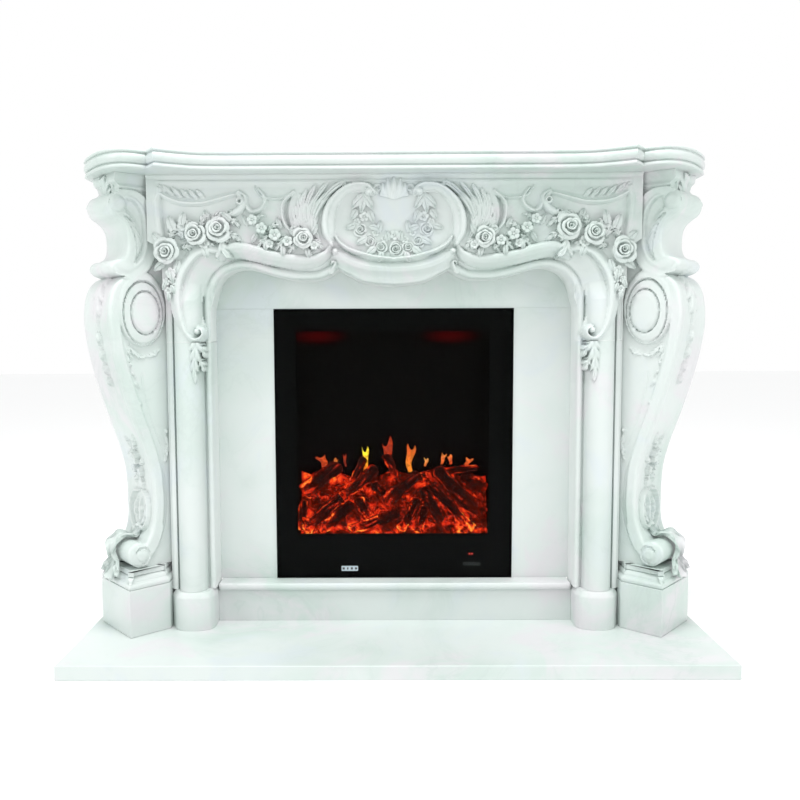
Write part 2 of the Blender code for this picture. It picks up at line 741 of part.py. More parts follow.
def build_shelf(name, material):
    outline = shelf_outline()
    height = shelf_thickness
    profile = [(0.006, 0), (0.0025, 0.0025), (0.0025, 0.0055), (0.006, 0.009), (0.009, 0.0095),
               (0.009, 0.0115), (0.004, 0.0125), (0.000, 0.018), (0.000, height - 0.012),
               (0.0045, height - 0.007), (0.001, height - 0.0055), (0.001, height - 0.001), (0.002, height)]
    return finish(loft(moulding_rings(outline, profile, shelf_bottom)), name, material)


# Sill with a rounded front edge between the jambs
def build_sill(name, material):
    half = opening_half - joint_gap
    front = column_back - sill_nose
    radius = sill_thickness / 2
    base = riser_top + joint_gap
    profile = [(wall, 0), (front + radius, 0)]
    profile += [(front + radius - radius * math.sin(a), radius - radius * math.cos(a))
                for a in np.linspace(0.3, math.pi - 0.3, 6)]
    profile += [(front + radius, sill_thickness), (wall, sill_thickness)]
    rings = [[(x, y, base + z) for y, z in profile] for x in (-half, half)]
    return finish(loft(rings), name, material)


# Steel case of the fire, open at the front
def build_case(name, low, high, thickness, material):
    shape = bmesh.new()
    bmesh.ops.create_cube(shape, size=1.0)
    for vert in shape.verts:
        vert.co = Vector([low[k] if vert.co[k] < 0 else high[k] for k in range(3)])
    front = min(shape.faces, key=lambda face: face.calc_center_median().y)
    bmesh.ops.inset_region(shape, faces=[front], thickness=thickness)
    pushed = bmesh.ops.extrude_face_region(shape, geom=[front])
    deep = [item for item in pushed["geom"] if isinstance(item, bmesh.types.BMVert)]
    for vert in deep:
        vert.co.y = high[1] - thickness
    bmesh.ops.delete(shape, geom=[front], context="FACES")
    return finish(shape, name, material)


# Plate with a rectangular window
def build_bezel(name, low, high, window_low, window_high, material):
    rings = []
    for y in (low[1], high[1]):
        outer = [(low[0], y, low[2]), (high[0], y, low[2]), (high[0], y, high[2]), (low[0], y, high[2])]
        inner = [(window_low[0], y, window_low[1]), (window_high[0], y, window_low[1]),
                 (window_high[0], y, window_high[1]), (window_low[0], y, window_high[1])]
        rings.append((outer, inner))
    shape = bmesh.new()
    loops = [[shape.verts.new(p) for p in ring] for ring in (rings[0][0], rings[0][1], rings[1][1], rings[1][0])]
    for a, b in zip(loops, loops[1:] + loops[:1]):
        for i in range(4):
            j = (i + 1) % 4
            shape.faces.new((a[i], a[j], b[j], b[i]))
    return finish(shape, name, material)


# Tapered round log between two ends
def log_shape(start, end, radius, sides=6):
    start, end = Vector(start), Vector(end)
    way = (end - start).normalized()
    side_way = way.cross(Vector((0, 1, 0))).normalized()
    up_way = side_way.cross(way)
    rings = []
    for place, size in ((start, radius), (end, 0.8 * radius)):
        ring = []
        for k in range(sides):
            angle = 2 * math.pi * k / sides
            ring.append(place + side_way * (size * math.cos(angle)) + up_way * (size * math.sin(angle)))
        rings.append(ring)
    return loft(rings)


# Moulded bed of logs and embers: a sloping bank with rows of logs half sunk in it
def build_log_bed(name, centre_y, bottom, material):
    half = fire_half - log_bed_margin
    front = centre_y - log_bed_depth / 2
    back = centre_y + log_bed_depth / 2
    foot = Vector((0, front + 0.25 * log_bed_depth, bottom + log_bed_lip))
    slope = Vector((0, back, bottom + log_bed_height)) - foot
    bank = [(front, bottom), (back, bottom), (back, bottom + log_bed_height), (foot.y, foot.z)]
    body = finish(loft([[(x, y, z) for y, z in bank] for x in (-half, half)]), name, material)
    pitch = 2 * half / (logs_in_row + 0.6)
    for row in range(log_rows):
        for k in range(logs_in_row):
            middle = -half + pitch * (k + 0.6 + 0.4 * row)
            lean = pitch * (0.22 - 0.14 * row) * (-1) ** (k + row)
            low = foot + slope * (0.04 + 0.27 * row) - Vector((lean, 0, 0))
            high = foot + slope * (0.42 + 0.27 * row) + Vector((lean, 0, 0))
            ends = [(middle + spot.x, spot.y, spot.z) for spot in (low, high)]
            cutter = finish(log_shape(*ends, log_radius), "log_guide", material)
            cutter.hide_render = True
            cutter.display_type = "WIRE"
            union = body.modifiers.new("log", "BOOLEAN")
            union.operation = "UNION"
            union.solver = "EXACT"
            union.object = cutter
    return body


def build_all():
    clear_scene()
    stone = make_material("pale_marble", (0.78, 0.81, 0.79), 0.32)
    black = make_material("black_steel", (0.012, 0.012, 0.013), 0.45, 0.6)
    glass = make_material("black_glass", (0.01, 0.01, 0.012), 0.05)
    resin = make_material("ember_logs", (0.10, 0.04, 0.02), 0.8)

    block("hearth_slab", (-hearth_width / 2, -hearth_depth / 2, 0),
          (hearth_width / 2, hearth_depth / 2, hearth_thickness), stone)
    riser_half = opening_half - joint_gap
    block("riser", (-riser_half, column_back - riser_setback, hearth_top), (riser_half, wall, riser_top), stone, 0)
    build_sill("sill", stone)
    slip_outer = fire_half + joint_gap + slip_reveal + slip_lap
    slip_back = slip_face + slip_thickness
    for side, word in ((-1, "left"), (1, "right")):
        ends = sorted((side * (fire_half + joint_gap), side * slip_outer))
        block(f"{word}_slip", (ends[0], slip_face, fire_bottom), (ends[1], slip_back, fire_top), stone, 0)
        build_plinth(side, f"{word}_plinth", stone)
        build_console(side, f"{word}_console", stone)
        build_column_base(side, f"{word}_column_base", stone)
        build_column(side, f"{word}_column", stone)
    header_bottom = fire_top + joint_gap
    block("header_slip", (-slip_outer, slip_face, header_bottom),
          (slip_outer, slip_back, header_bottom + header_height), stone, 0)
    build_frieze("frieze", stone)
    build_shelf("mantel_shelf", stone)

    glass_front = slip_face - glass_proud
    glass_back = glass_front + glass_thickness
    bezel_front = glass_back + joint_gap
    bezel_back = bezel_front + bezel_thickness
    case_front = bezel_back + joint_gap
    case_back = case_front + fire_case_depth
    block("fire_glass", (-fire_half, glass_front, fire_bottom), (fire_half, glass_back, fire_top), glass, 0)
    build_bezel("fire_bezel", (-fire_half, bezel_front, fire_bottom), (fire_half, bezel_back, fire_top),
                (-fire_half + window_left, fire_bottom + window_bottom),
                (fire_half - window_right, fire_top - window_top), black)
    build_case("firebox_case", (-fire_half, case_front, fire_bottom), (fire_half, case_back, fire_top),
               case_wall, black)
    bed_centre = (case_front + case_back) / 2
    build_log_bed("log_bed", bed_centre, fire_bottom + case_wall + joint_gap, resin)


build_all()
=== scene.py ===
import math

import bmesh
import bpy
import numpy as np
from mathutils import Matrix, Vector


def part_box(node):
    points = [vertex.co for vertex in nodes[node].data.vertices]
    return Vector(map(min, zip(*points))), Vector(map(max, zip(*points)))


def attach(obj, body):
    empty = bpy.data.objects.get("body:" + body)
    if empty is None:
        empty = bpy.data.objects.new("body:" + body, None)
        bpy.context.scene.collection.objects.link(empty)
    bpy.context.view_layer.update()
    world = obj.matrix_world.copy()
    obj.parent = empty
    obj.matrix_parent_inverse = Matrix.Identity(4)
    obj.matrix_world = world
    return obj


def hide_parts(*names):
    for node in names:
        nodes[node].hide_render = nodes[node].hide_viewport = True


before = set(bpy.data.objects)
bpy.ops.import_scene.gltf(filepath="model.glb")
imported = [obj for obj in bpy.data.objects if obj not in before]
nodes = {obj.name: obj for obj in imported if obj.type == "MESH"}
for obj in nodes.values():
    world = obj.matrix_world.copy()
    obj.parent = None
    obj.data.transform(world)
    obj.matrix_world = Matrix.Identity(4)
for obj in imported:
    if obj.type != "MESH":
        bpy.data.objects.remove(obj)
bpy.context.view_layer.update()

scene = bpy.context.scene
scene.view_settings.view_transform = "Standard"

print("mantel: camera, floor and lights")
viewpoint = {
    "place": (-0.0335, -1.9085, 0.7528),
    "pitch": 4.642, "yaw": -0.371, "roll": -0.25,
    "lens": 36.39,
    "shift": (0.0309, 0.0),
}
studio = {
    "floorColour": (0.95, 0.955, 0.955),
    "worldColour": (1.0, 1.0, 1.0), "worldStrength": 1.0,
    "key": {"place": (-2.5, -1.3, 1.7), "aim": (-0.3, 0.0, 0.6), "size": 0.8, "watts": 17},
    "fill": {"place": (2.5, -1.3, 1.5), "aim": (0.3, 0.0, 0.6), "size": 1.0, "watts": 14},
    "top": {"place": (0.0, -0.7, 3.2), "aim": (0.0, 0.0, 0.3), "size": 1.0, "watts": 58},
}


def placeCamera():
    cameraData = bpy.data.cameras.new("photoCamera")
    cameraData.sensor_width = 36
    cameraData.lens = viewpoint["lens"]
    cameraData.shift_x, cameraData.shift_y = viewpoint["shift"]
    camera = bpy.data.objects.new("photoCamera", cameraData)
    turn = Matrix.Rotation(math.radians(-viewpoint["yaw"]), 4, "Z")
    tilt = Matrix.Rotation(math.radians(90 - viewpoint["pitch"]), 4, "X")
    roll = Matrix.Rotation(math.radians(viewpoint["roll"]), 4, "Z")
    camera.matrix_world = Matrix.Translation(viewpoint["place"]) @ turn @ tilt @ roll
    scene.collection.objects.link(camera)
    scene.camera = camera


def addLight(name, setting):
    lightData = bpy.data.lights.new(name, "AREA")
    lightData.shape = "SQUARE"
    lightData.size = setting["size"]
    lightData.energy = setting["watts"]
    light = bpy.data.objects.new(name, lightData)
    light.location = setting["place"]
    way = Vector(setting["aim"]) - Vector(setting["place"])
    light.rotation_euler = way.to_track_quat("-Z", "Y").to_euler()
    scene.collection.objects.link(light)


placeCamera()
for lightName in ("key", "fill", "top"):
    addLight(lightName + "Light", studio[lightName])
world = bpy.data.worlds.new("studioWorld")
world.use_nodes = True
world.node_tree.nodes["Background"].inputs["Color"].default_value = (*studio["worldColour"], 1)
world.node_tree.nodes["Background"].inputs["Strength"].default_value = studio["worldStrength"]
scene.world = world


class Wire:  # a socket that does its own sums
    def __init__(self, tree, socket):
        self.tree = tree
        self.socket = socket

    def sum(self, operation, *values):
        node = self.tree.nodes.new("ShaderNodeMath")
        node.operation = operation
        for slot, value in zip(node.inputs, values):
            if isinstance(value, Wire):
                self.tree.links.new(value.socket, slot)
            else:
                slot.default_value = value
        return Wire(self.tree, node.outputs[0])

    def __add__(self, other):
        return self.sum("ADD", self, other)

    def __sub__(self, other):
        return self.sum("SUBTRACT", self, other)

    def __rsub__(self, other):
        return self.sum("SUBTRACT", other, self)

    def __mul__(self, other):
        return self.sum("MULTIPLY", self, other)

    def __abs__(self):
        return self.sum("ABSOLUTE", self)

    __radd__ = __add__
    __rmul__ = __mul__


class Finish:  # one material and its nodes
    def __init__(self, name, **values):
        self.material = bpy.data.materials.new(name)
        self.material.use_nodes = True
        self.tree = self.material.node_tree
        self.shader = self.tree.nodes["Principled BSDF"]
        self.feed(values)

    def feed(self, values):
        for name, value in values.items():
            self.connect(self.shader.inputs[name], value)

    def connect(self, slot, value):
        if isinstance(value, Wire):
            self.tree.links.new(value.socket, slot)
        elif isinstance(value, tuple) and slot.type == "RGBA" and len(value) == 3:
            slot.default_value = (*value, 1)
        else:
            slot.default_value = value

    def add(self, kind, settings=None, sockets=None, out=0):
        node = self.tree.nodes.new(kind)
        for name, value in (settings or {}).items():
            if name == "stops":
                ramp = node.color_ramp.elements
                while len(ramp) < len(value):
                    ramp.new(0.5)
                for element, (place, colour) in zip(ramp, value):
                    element.position = place
                    element.color = (*colour, 1)
            else:
                setattr(node, name, value)
        for name, value in (sockets or {}).items():
            self.connect(node.inputs[name], value)
        return Wire(self.tree, node.outputs[out])

    def place(self):
        return self.add("ShaderNodeTexCoord", out=3)

    def noise(self, scale, detail=3.0, roughness=0.5, distortion=0.0, where=None):
        return self.add("ShaderNodeTexNoise", {}, {
            "Vector": where or self.place(), "Scale": scale, "Detail": detail,
            "Roughness": roughness, "Distortion": distortion})

    def ramp(self, value, low, high):
        return self.add("ShaderNodeMapRange", {"interpolation_type": "SMOOTHSTEP"},
                        {"Value": value, "From Min": low, "From Max": high})

    def blend(self, factor, first, second):
        return self.add("ShaderNodeMix", {"data_type": "RGBA"}, {0: factor, 6: first, 7: second}, out=2)

    def bump(self, height, strength, distance):
        return self.add("ShaderNodeBump", {},
                        {"Strength": strength, "Distance": distance, "Height": height})


marbleLook = {
    "body": (0.59, 0.64, 0.622),
    "green": (0.50, 0.585, 0.548),
    "blush": (0.62, 0.605, 0.625),
    "sky": (0.555, 0.61, 0.64),
    "vein": (0.45, 0.52, 0.495),
    "veinAmount": 0.35,
    # colour of the painted shade in the hollows of carved pieces
    "paintedRecessShade": (0.20, 0.27, 0.245),
    "roughness": 0.30,
}


def makeMarble(name, carved):
    look = marbleLook
    finish = Finish(name)
    finish.feed({"IOR": 1.49, "Subsurface Weight": 0.0, "Specular IOR Level": 0.45})
    cloud = finish.noise(2.4, 3, 0.55, 0.6)
    patch = finish.noise(4.7, 4, 0.6, 0.9)
    fleck = finish.noise(38, 5, 0.65)
    streak = finish.noise(3.1, 6, 0.62, 1.8)
    colour = finish.blend(finish.ramp(cloud, 0.40, 0.66), look["body"], look["green"])
    colour = finish.blend(finish.ramp(patch, 0.50, 0.68) * 0.8, colour, look["blush"])
    colour = finish.blend(finish.ramp(patch, 0.46, 0.30) * 0.6, colour, look["sky"])
    line = finish.ramp(abs(streak - 0.5), 0.030, 0.0)
    colour = finish.blend(line * look["veinAmount"] * finish.ramp(cloud, 0.35, 0.7), colour, look["vein"])
    colour = finish.blend(finish.ramp(fleck, 0.55, 0.80) * 0.25, colour, look["green"])
    if carved:
        # Painted shade: the colour darkens in hollows, found by pointiness, where shade falls
        pointed = finish.add("ShaderNodeNewGeometry", out=7)
        colour = finish.blend(finish.ramp(pointed, 0.480, 0.36) * 0.80, colour, look["paintedRecessShade"])
        # Painted highlight: the colour lightens on sharp ridges, found by pointiness, where light catches
        colour = finish.blend(finish.ramp(pointed, 0.53, 0.62) * 0.55, colour, (0.74, 0.77, 0.755))
    rough = look["roughness"] + finish.ramp(patch, 0.3, 0.7) * 0.10 + fleck * 0.08
    grain = finish.noise(160, 3, 0.6)
    finish.feed({"Base Color": colour, "Roughness": rough,
                 "Normal": finish.bump(grain * 0.4 + fleck, 0.10, 0.0006)})
    return finish.material


marble = makeMarble("paleMarble", False)
# Marble for carved pieces, with painted shade in hollows and a painted highlight on ridges
carvedMarblePaintedLight = makeMarble("carvedMarblePaintedLight", True)


def makeFloor():
    floor = bpy.data.meshes.new("floor")
    reach = 14
    floor.from_pydata([(-reach, -reach, 0), (reach, -reach, 0), (reach, reach, 0), (-reach, reach, 0)], [],
                      [(0, 1, 2, 3)])
    finish = Finish("paleFloor", **{"Roughness": 0.85})
    grain = finish.noise(30, 3)
    finish.feed({"Base Color": finish.blend(grain * 0.06, studio["floorColour"], (0.80, 0.81, 0.81))})
    floor.materials.append(finish.material)
    slab = bpy.data.objects.new("floor", floor)
    scene.collection.objects.link(slab)


makeFloor()


# Tools for carving
def smoothLine(points, steps=6):
    points = np.array(points, float)
    ends = np.vstack([2 * points[0] - points[1], points, 2 * points[-1] - points[-2]])
    share = np.arange(steps) / steps
    rows = []
    for a, b, c, d in zip(ends, ends[1:], ends[2:], ends[3:]):
        for t in share:
            rows.append(0.5 * (2 * b + (c - a) * t + (2 * a - 5 * b + 4 * c - d) * t ** 2
                               + (3 * b - a - 3 * c + d) * t ** 3))
    rows.append(points[-1])
    return np.array(rows)


def evenLine(points, step):
    points = np.array(points, float)
    size = np.concatenate([[0], np.cumsum(np.linalg.norm(np.diff(points, axis=0), axis=1))])
    count = max(2, int(round(size[-1] / step)) + 1)
    wanted = np.linspace(0, size[-1], count)
    return np.column_stack([np.interp(wanted, size, points[:, k]) for k in range(points.shape[1])])


# Distance to a line, share along it, and side (1 is left of its way)
def nearLine(points, line, closed=False):
    start = line if closed else line[:-1]
    way = np.roll(line, -1, axis=0) - line if closed else np.diff(line, axis=0)
    size = np.maximum((way ** 2).sum(1), 1e-12)
    run = np.sqrt(size)
    before = np.concatenate([[0], np.cumsum(run)])
    distance = np.empty(len(points))
    along = np.empty(len(points))
    side = np.empty(len(points))
    spot = np.empty_like(points)
    for first in range(0, len(points), 8000):
        part = points[first:first + 8000]
        gap = part[:, None, :] - start[None]
        share = np.clip((gap * way[None]).sum(2) / size, 0, 1)
        away = gap - share[..., None] * way[None]
        length = (away ** 2).sum(2)
        best = length.argmin(1)
        row = np.arange(len(part))
        cross = way[best, 0] * gap[row, best, 1] - way[best, 1] * gap[row, best, 0]
        distance[first:first + 8000] = np.sqrt(length[row, best])
        along[first:first + 8000] = (before[best] + share[row, best] * run[best]) / before[-1]
        side[first:first + 8000] = np.where(cross >= 0, 1, -1)
        spot[first:first + 8000] = part - away[row, best]
    return distance, along, side, spot


def isInside(points, outline):
    inside = np.zeros(len(points), bool)
    ends = np.roll(outline, -1, axis=0)
    for (x1, y1), (x2, y2) in zip(outline, ends):
        if y1 == y2:
            continue
        crosses = (points[:, 1] > min(y1, y2)) & (points[:, 1] <= max(y1, y2))
        at = x1 + (points[:, 1] - y1) * (x2 - x1) / (y2 - y1)
        inside ^= crosses & (points[:, 0] < at)
    return inside


# Even grid of triangles inside an outline, with its edge pulled onto the outline
def fillOutline(outline, step, corners=()):
    low = outline.min(0) - 1.5 * step
    count = np.ceil((outline.max(0) - low) / step).astype(int) + 2
    across, up = np.meshgrid(np.arange(count[0]), np.arange(count[1]), indexing="ij")
    points = np.column_stack([low[0] + across.ravel() * step, low[1] + up.ravel() * step])
    distance, _, _, spot = nearLine(points, outline, True)
    inside = isInside(points, outline)
    onEdge = distance < 0.52 * step
    points[onEdge] = spot[onEdge]
    for corner in corners:
        nearest = ((points - corner) ** 2).sum(1).argmin()
        points[nearest] = corner
        onEdge[nearest] = True
    state = np.where(onEdge, 0, np.where(inside, 1, -1))
    index = np.arange(len(points)).reshape(count)
    a, b = index[:-1, :-1].ravel(), index[1:, :-1].ravel()
    c, d = index[1:, 1:].ravel(), index[:-1, 1:].ravel()
    cross = state[a] * state[c] < 0
    first = np.where(cross[:, None], np.column_stack([a, b, d]), np.column_stack([a, b, c]))
    second = np.where(cross[:, None], np.column_stack([b, c, d]), np.column_stack([a, c, d]))
    faces = np.vstack([first, second])
    value = state[faces]
    keep = value.min(1) >= 0
    flat = keep & (value.max(1) == 0)
    middle = points[faces[flat]].mean(1)
    keep[np.nonzero(flat)[0][~isInside(middle, outline)]] = False
    faces = faces[keep]
    p, q, r = (points[faces[:, k]] for k in range(3))
    area = (q[:, 0] - p[:, 0]) * (r[:, 1] - p[:, 1]) - (q[:, 1] - p[:, 1]) * (r[:, 0] - p[:, 0])
    faces = faces[area > 1e-4 * step * step]
    used, faces = np.unique(faces, return_inverse=True)
    return points[used], faces.reshape(-1, 3)


# Edges that have a face on one side only, which bound a sheet
def edgePairs(faces):
    edges = np.vstack([faces[:, [0, 1]], faces[:, [1, 2]], faces[:, [2, 0]]])
    both = {tuple(edge) for edge in edges.tolist()}
    return np.array(sorted(edge for edge in both if (edge[1], edge[0]) not in both))


def edgeLoop(faces):
    edges = np.vstack([faces[:, [0, 1]], faces[:, [1, 2]], faces[:, [2, 0]]])
    both = {tuple(edge) for edge in edges}
    follow = {a: b for a, b in both if (b, a) not in both}
    start = next(iter(follow))
    loop = [start]
    while follow[loop[-1]] != start and len(loop) <= len(follow):
        loop.append(follow[loop[-1]])
    return loop


def makePiece(name, points, faces, material, slot, replaced, angle=40):
    mesh = bpy.data.meshes.new(name)
    mesh.from_pydata([tuple(map(float, point)) for point in points], [],
                     [tuple(map(int, f)) for f in faces])
    mesh.materials.append(material)
    mesh.shade_smooth()
    mesh.set_sharp_from_angle(angle=math.radians(angle))
    piece = bpy.data.objects.new(name, mesh)
    scene.collection.objects.link(piece)
    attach(piece, "root")
    if replaced:
        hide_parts(*replaced)
    return piece


class Relief:  # depth of carving over points drawn in millimetres
    def __init__(self, points, depth):
        self.points = points
        self.depth = depth

    def near(self, line, reach):
        low, high = line.min(0) - reach, line.max(0) + reach
        return np.nonzero(((self.points > low) & (self.points < high)).all(1))[0]

    def put(self, some, value, inside, how):
        old = self.depth[some]
        new = {"raise": np.maximum(old, value), "add": old + value, "sink": np.minimum(old, value)}[how]
        self.depth[some] = np.where(inside, new, old)

    # A moulding along a line: section is (across, share of rise) from its right edge to its left edge
    def strip(self, line, width, base, rise, section, how="raise"):
        line = smoothLine(line)
        width = np.atleast_1d(width).astype(float)
        rise = np.atleast_1d(rise).astype(float)
        some = self.near(line, width.max() / 2)
        if not len(some):
            return
        distance, along, side, _ = nearLine(self.points[some], line)
        wide = np.interp(along, np.linspace(0, 1, len(width)), width) / 2
        tall = np.interp(along, np.linspace(0, 1, len(rise)), rise)
        across = side * distance / wide
        share = np.interp(across, [q for q, _ in section], [h for _, h in section])
        self.put(some, base + tall * share, np.abs(across) < 1, how)

    # A lobed leaf with ribs that slant from its spine
    def leaf(self, line, width, base, rise, lobes=4, notch=0.35, rib=0.22, how="raise", lean=0.9):
        line = smoothLine(line)
        width = np.atleast_1d(width).astype(float)
        rise = np.atleast_1d(rise).astype(float)
        some = self.near(line, width.max() / 2)
        if not len(some):
            return
        distance, along, side, _ = nearLine(self.points[some], line)
        wide = np.interp(along, np.linspace(0, 1, len(width)), width) / 2
        tall = np.interp(along, np.linspace(0, 1, len(rise)), rise)
        across = distance / np.maximum(wide, 1e-6)
        wave = np.cos(2 * math.pi * lobes * (along - lean * across / lobes))
        edge = 1 - notch * (0.5 - 0.5 * wave) ** 2
        share = np.clip(across / edge, 0, 1)
        body = np.sqrt(1 - share ** 2) * (0.75 + 0.25 * share)
        body = body - rib * (0.5 - 0.5 * wave) ** 2 * share - 0.16 * np.exp(-(across / 0.13) ** 2)
        self.put(some, base + tall * body, share < 1, how)

    def dome(self, centre, radii, base, rise, section=((0, 1), (0.5, 0.87), (0.8, 0.6), (1, 0)), turn=0,
             how="raise"):
        centre = np.array(centre, float)
        some = self.near(centre[None], max(radii))
        gap = self.points[some] - centre
        angle = math.radians(turn)
        along = gap[:, 0] * math.cos(angle) + gap[:, 1] * math.sin(angle)
        across = gap[:, 1] * math.cos(angle) - gap[:, 0] * math.sin(angle)
        share = np.hypot(along / radii[0], across / radii[1])
        value = base + rise * np.interp(share, [q for q, _ in section], [h for _, h in section])
        self.put(some, value, share < 1, how)

    # A small open flower
    def flower(self, centre, radius, base, rise, petals=5, turn=0.0):
        centre = np.array(centre, float)
        some = self.near(centre[None], radius)
        gap = self.points[some] - centre
        far = np.hypot(gap[:, 0], gap[:, 1]) / radius
        angle = np.arctan2(gap[:, 1], gap[:, 0]) - math.radians(turn)
        reach = 0.66 + 0.34 * np.abs(np.cos(petals * angle / 2)) ** 0.6
        share = far / reach
        cup = 0.55 + 0.45 * share ** 1.4 - 0.20 * (1 - np.abs(np.cos(petals * angle / 2))) ** 3 * share
        cup = np.where(share > 0.86, cup * np.clip((1 - share) / 0.14, 0, 1) ** 0.5, cup)
        heart = np.where(far < 0.24, 0.85 * np.sqrt(np.clip(1 - (far / 0.26) ** 2, 0, 1)) + 0.1, 0)
        self.put(some, base + rise * np.maximum(cup, heart), share < 1, "raise")


# Sections of mouldings, across from the right edge of a line to its left edge
roundTop = [(q, math.sqrt(max(0.0, 1 - q * q))) for q in np.linspace(-1, 1, 21)]
softTop = [(-1, 0), (-0.8, 0.30), (-0.45, 0.82), (0, 1), (0.45, 0.82), (0.8, 0.30), (1, 0)]
bandTop = [(-1, 0), (-0.93, 0.55), (-0.78, 0.95), (-0.5, 1), (0.5, 1), (0.78, 0.95), (0.93, 0.55), (1, 0)]


print("mantel: frieze")
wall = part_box("mantel_shelf")[1][1]
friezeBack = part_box("frieze")[1][1]
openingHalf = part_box("right_column")[0][0]
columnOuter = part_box("right_column")[1][0]
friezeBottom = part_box("frieze")[0][2]
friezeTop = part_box("frieze")[1][2]
columnPlan = {"bead": 15.0, "ground": 150.0, "round": 34.0, "shaftStart": 20.5}
friezeLook = {
    "grid": 2.0, "field": 170.0, "edge": 150.0,
    "endFront": 178.0, "endX": 582.7, "shoulder": 975.0, "elbow": 955.5,
    "arch": [(443.3, 790), (442, 818), (436, 840), (431, 860), (421, 882), (403, 900), (378, 910),
             (352, 911), (327, 906), (301, 898), (276, 891), (238, 884), (208, 883), (179, 885), (160, 892),
             (146, 900), (134, 909)],
    "crown": [(134, 909), (105, 893), (82, 881), (53, 874), (0, 869)],
}


def archLine():
    leg = [(openingHalf * 1000, friezeBottom * 1000), (openingHalf * 1000, 770)]
    arch = smoothLine(friezeLook["arch"], 5)
    arch[0] = (openingHalf * 1000, 790)
    return np.vstack([leg, arch[:-1], smoothLine(friezeLook["crown"], 6)])


# Depth of the jamb's front in millimetres before the wall, at a distance from the opening
def jambDepth(across):
    look = columnPlan
    bead = look["bead"]
    radius = look["round"]
    start = look["shaftStart"]
    roll = look["ground"] - 10 + 7.5 * np.sqrt(np.clip(1 - ((across - bead / 2) / (bead / 2)) ** 2, 0, 1))
    share = (across - start - radius) / radius
    shaft = look["ground"] - 4 + radius * np.sqrt(np.clip(1 - share ** 2, 0, 1))
    flat = np.interp(across, [88.5, 91, 92.5, 102.5, 103.5, 110], [142, 142, 152, 152, 146, 146])
    groove = np.interp(across, [15, 16, 18.5, 20.5], [140, 138, 138, 146])
    depth = np.where(across < bead, roll, groove)
    depth = np.where((across >= start) & (across <= start + 2 * radius), shaft, depth)
    return np.where(across > start + 2 * radius, flat, depth)


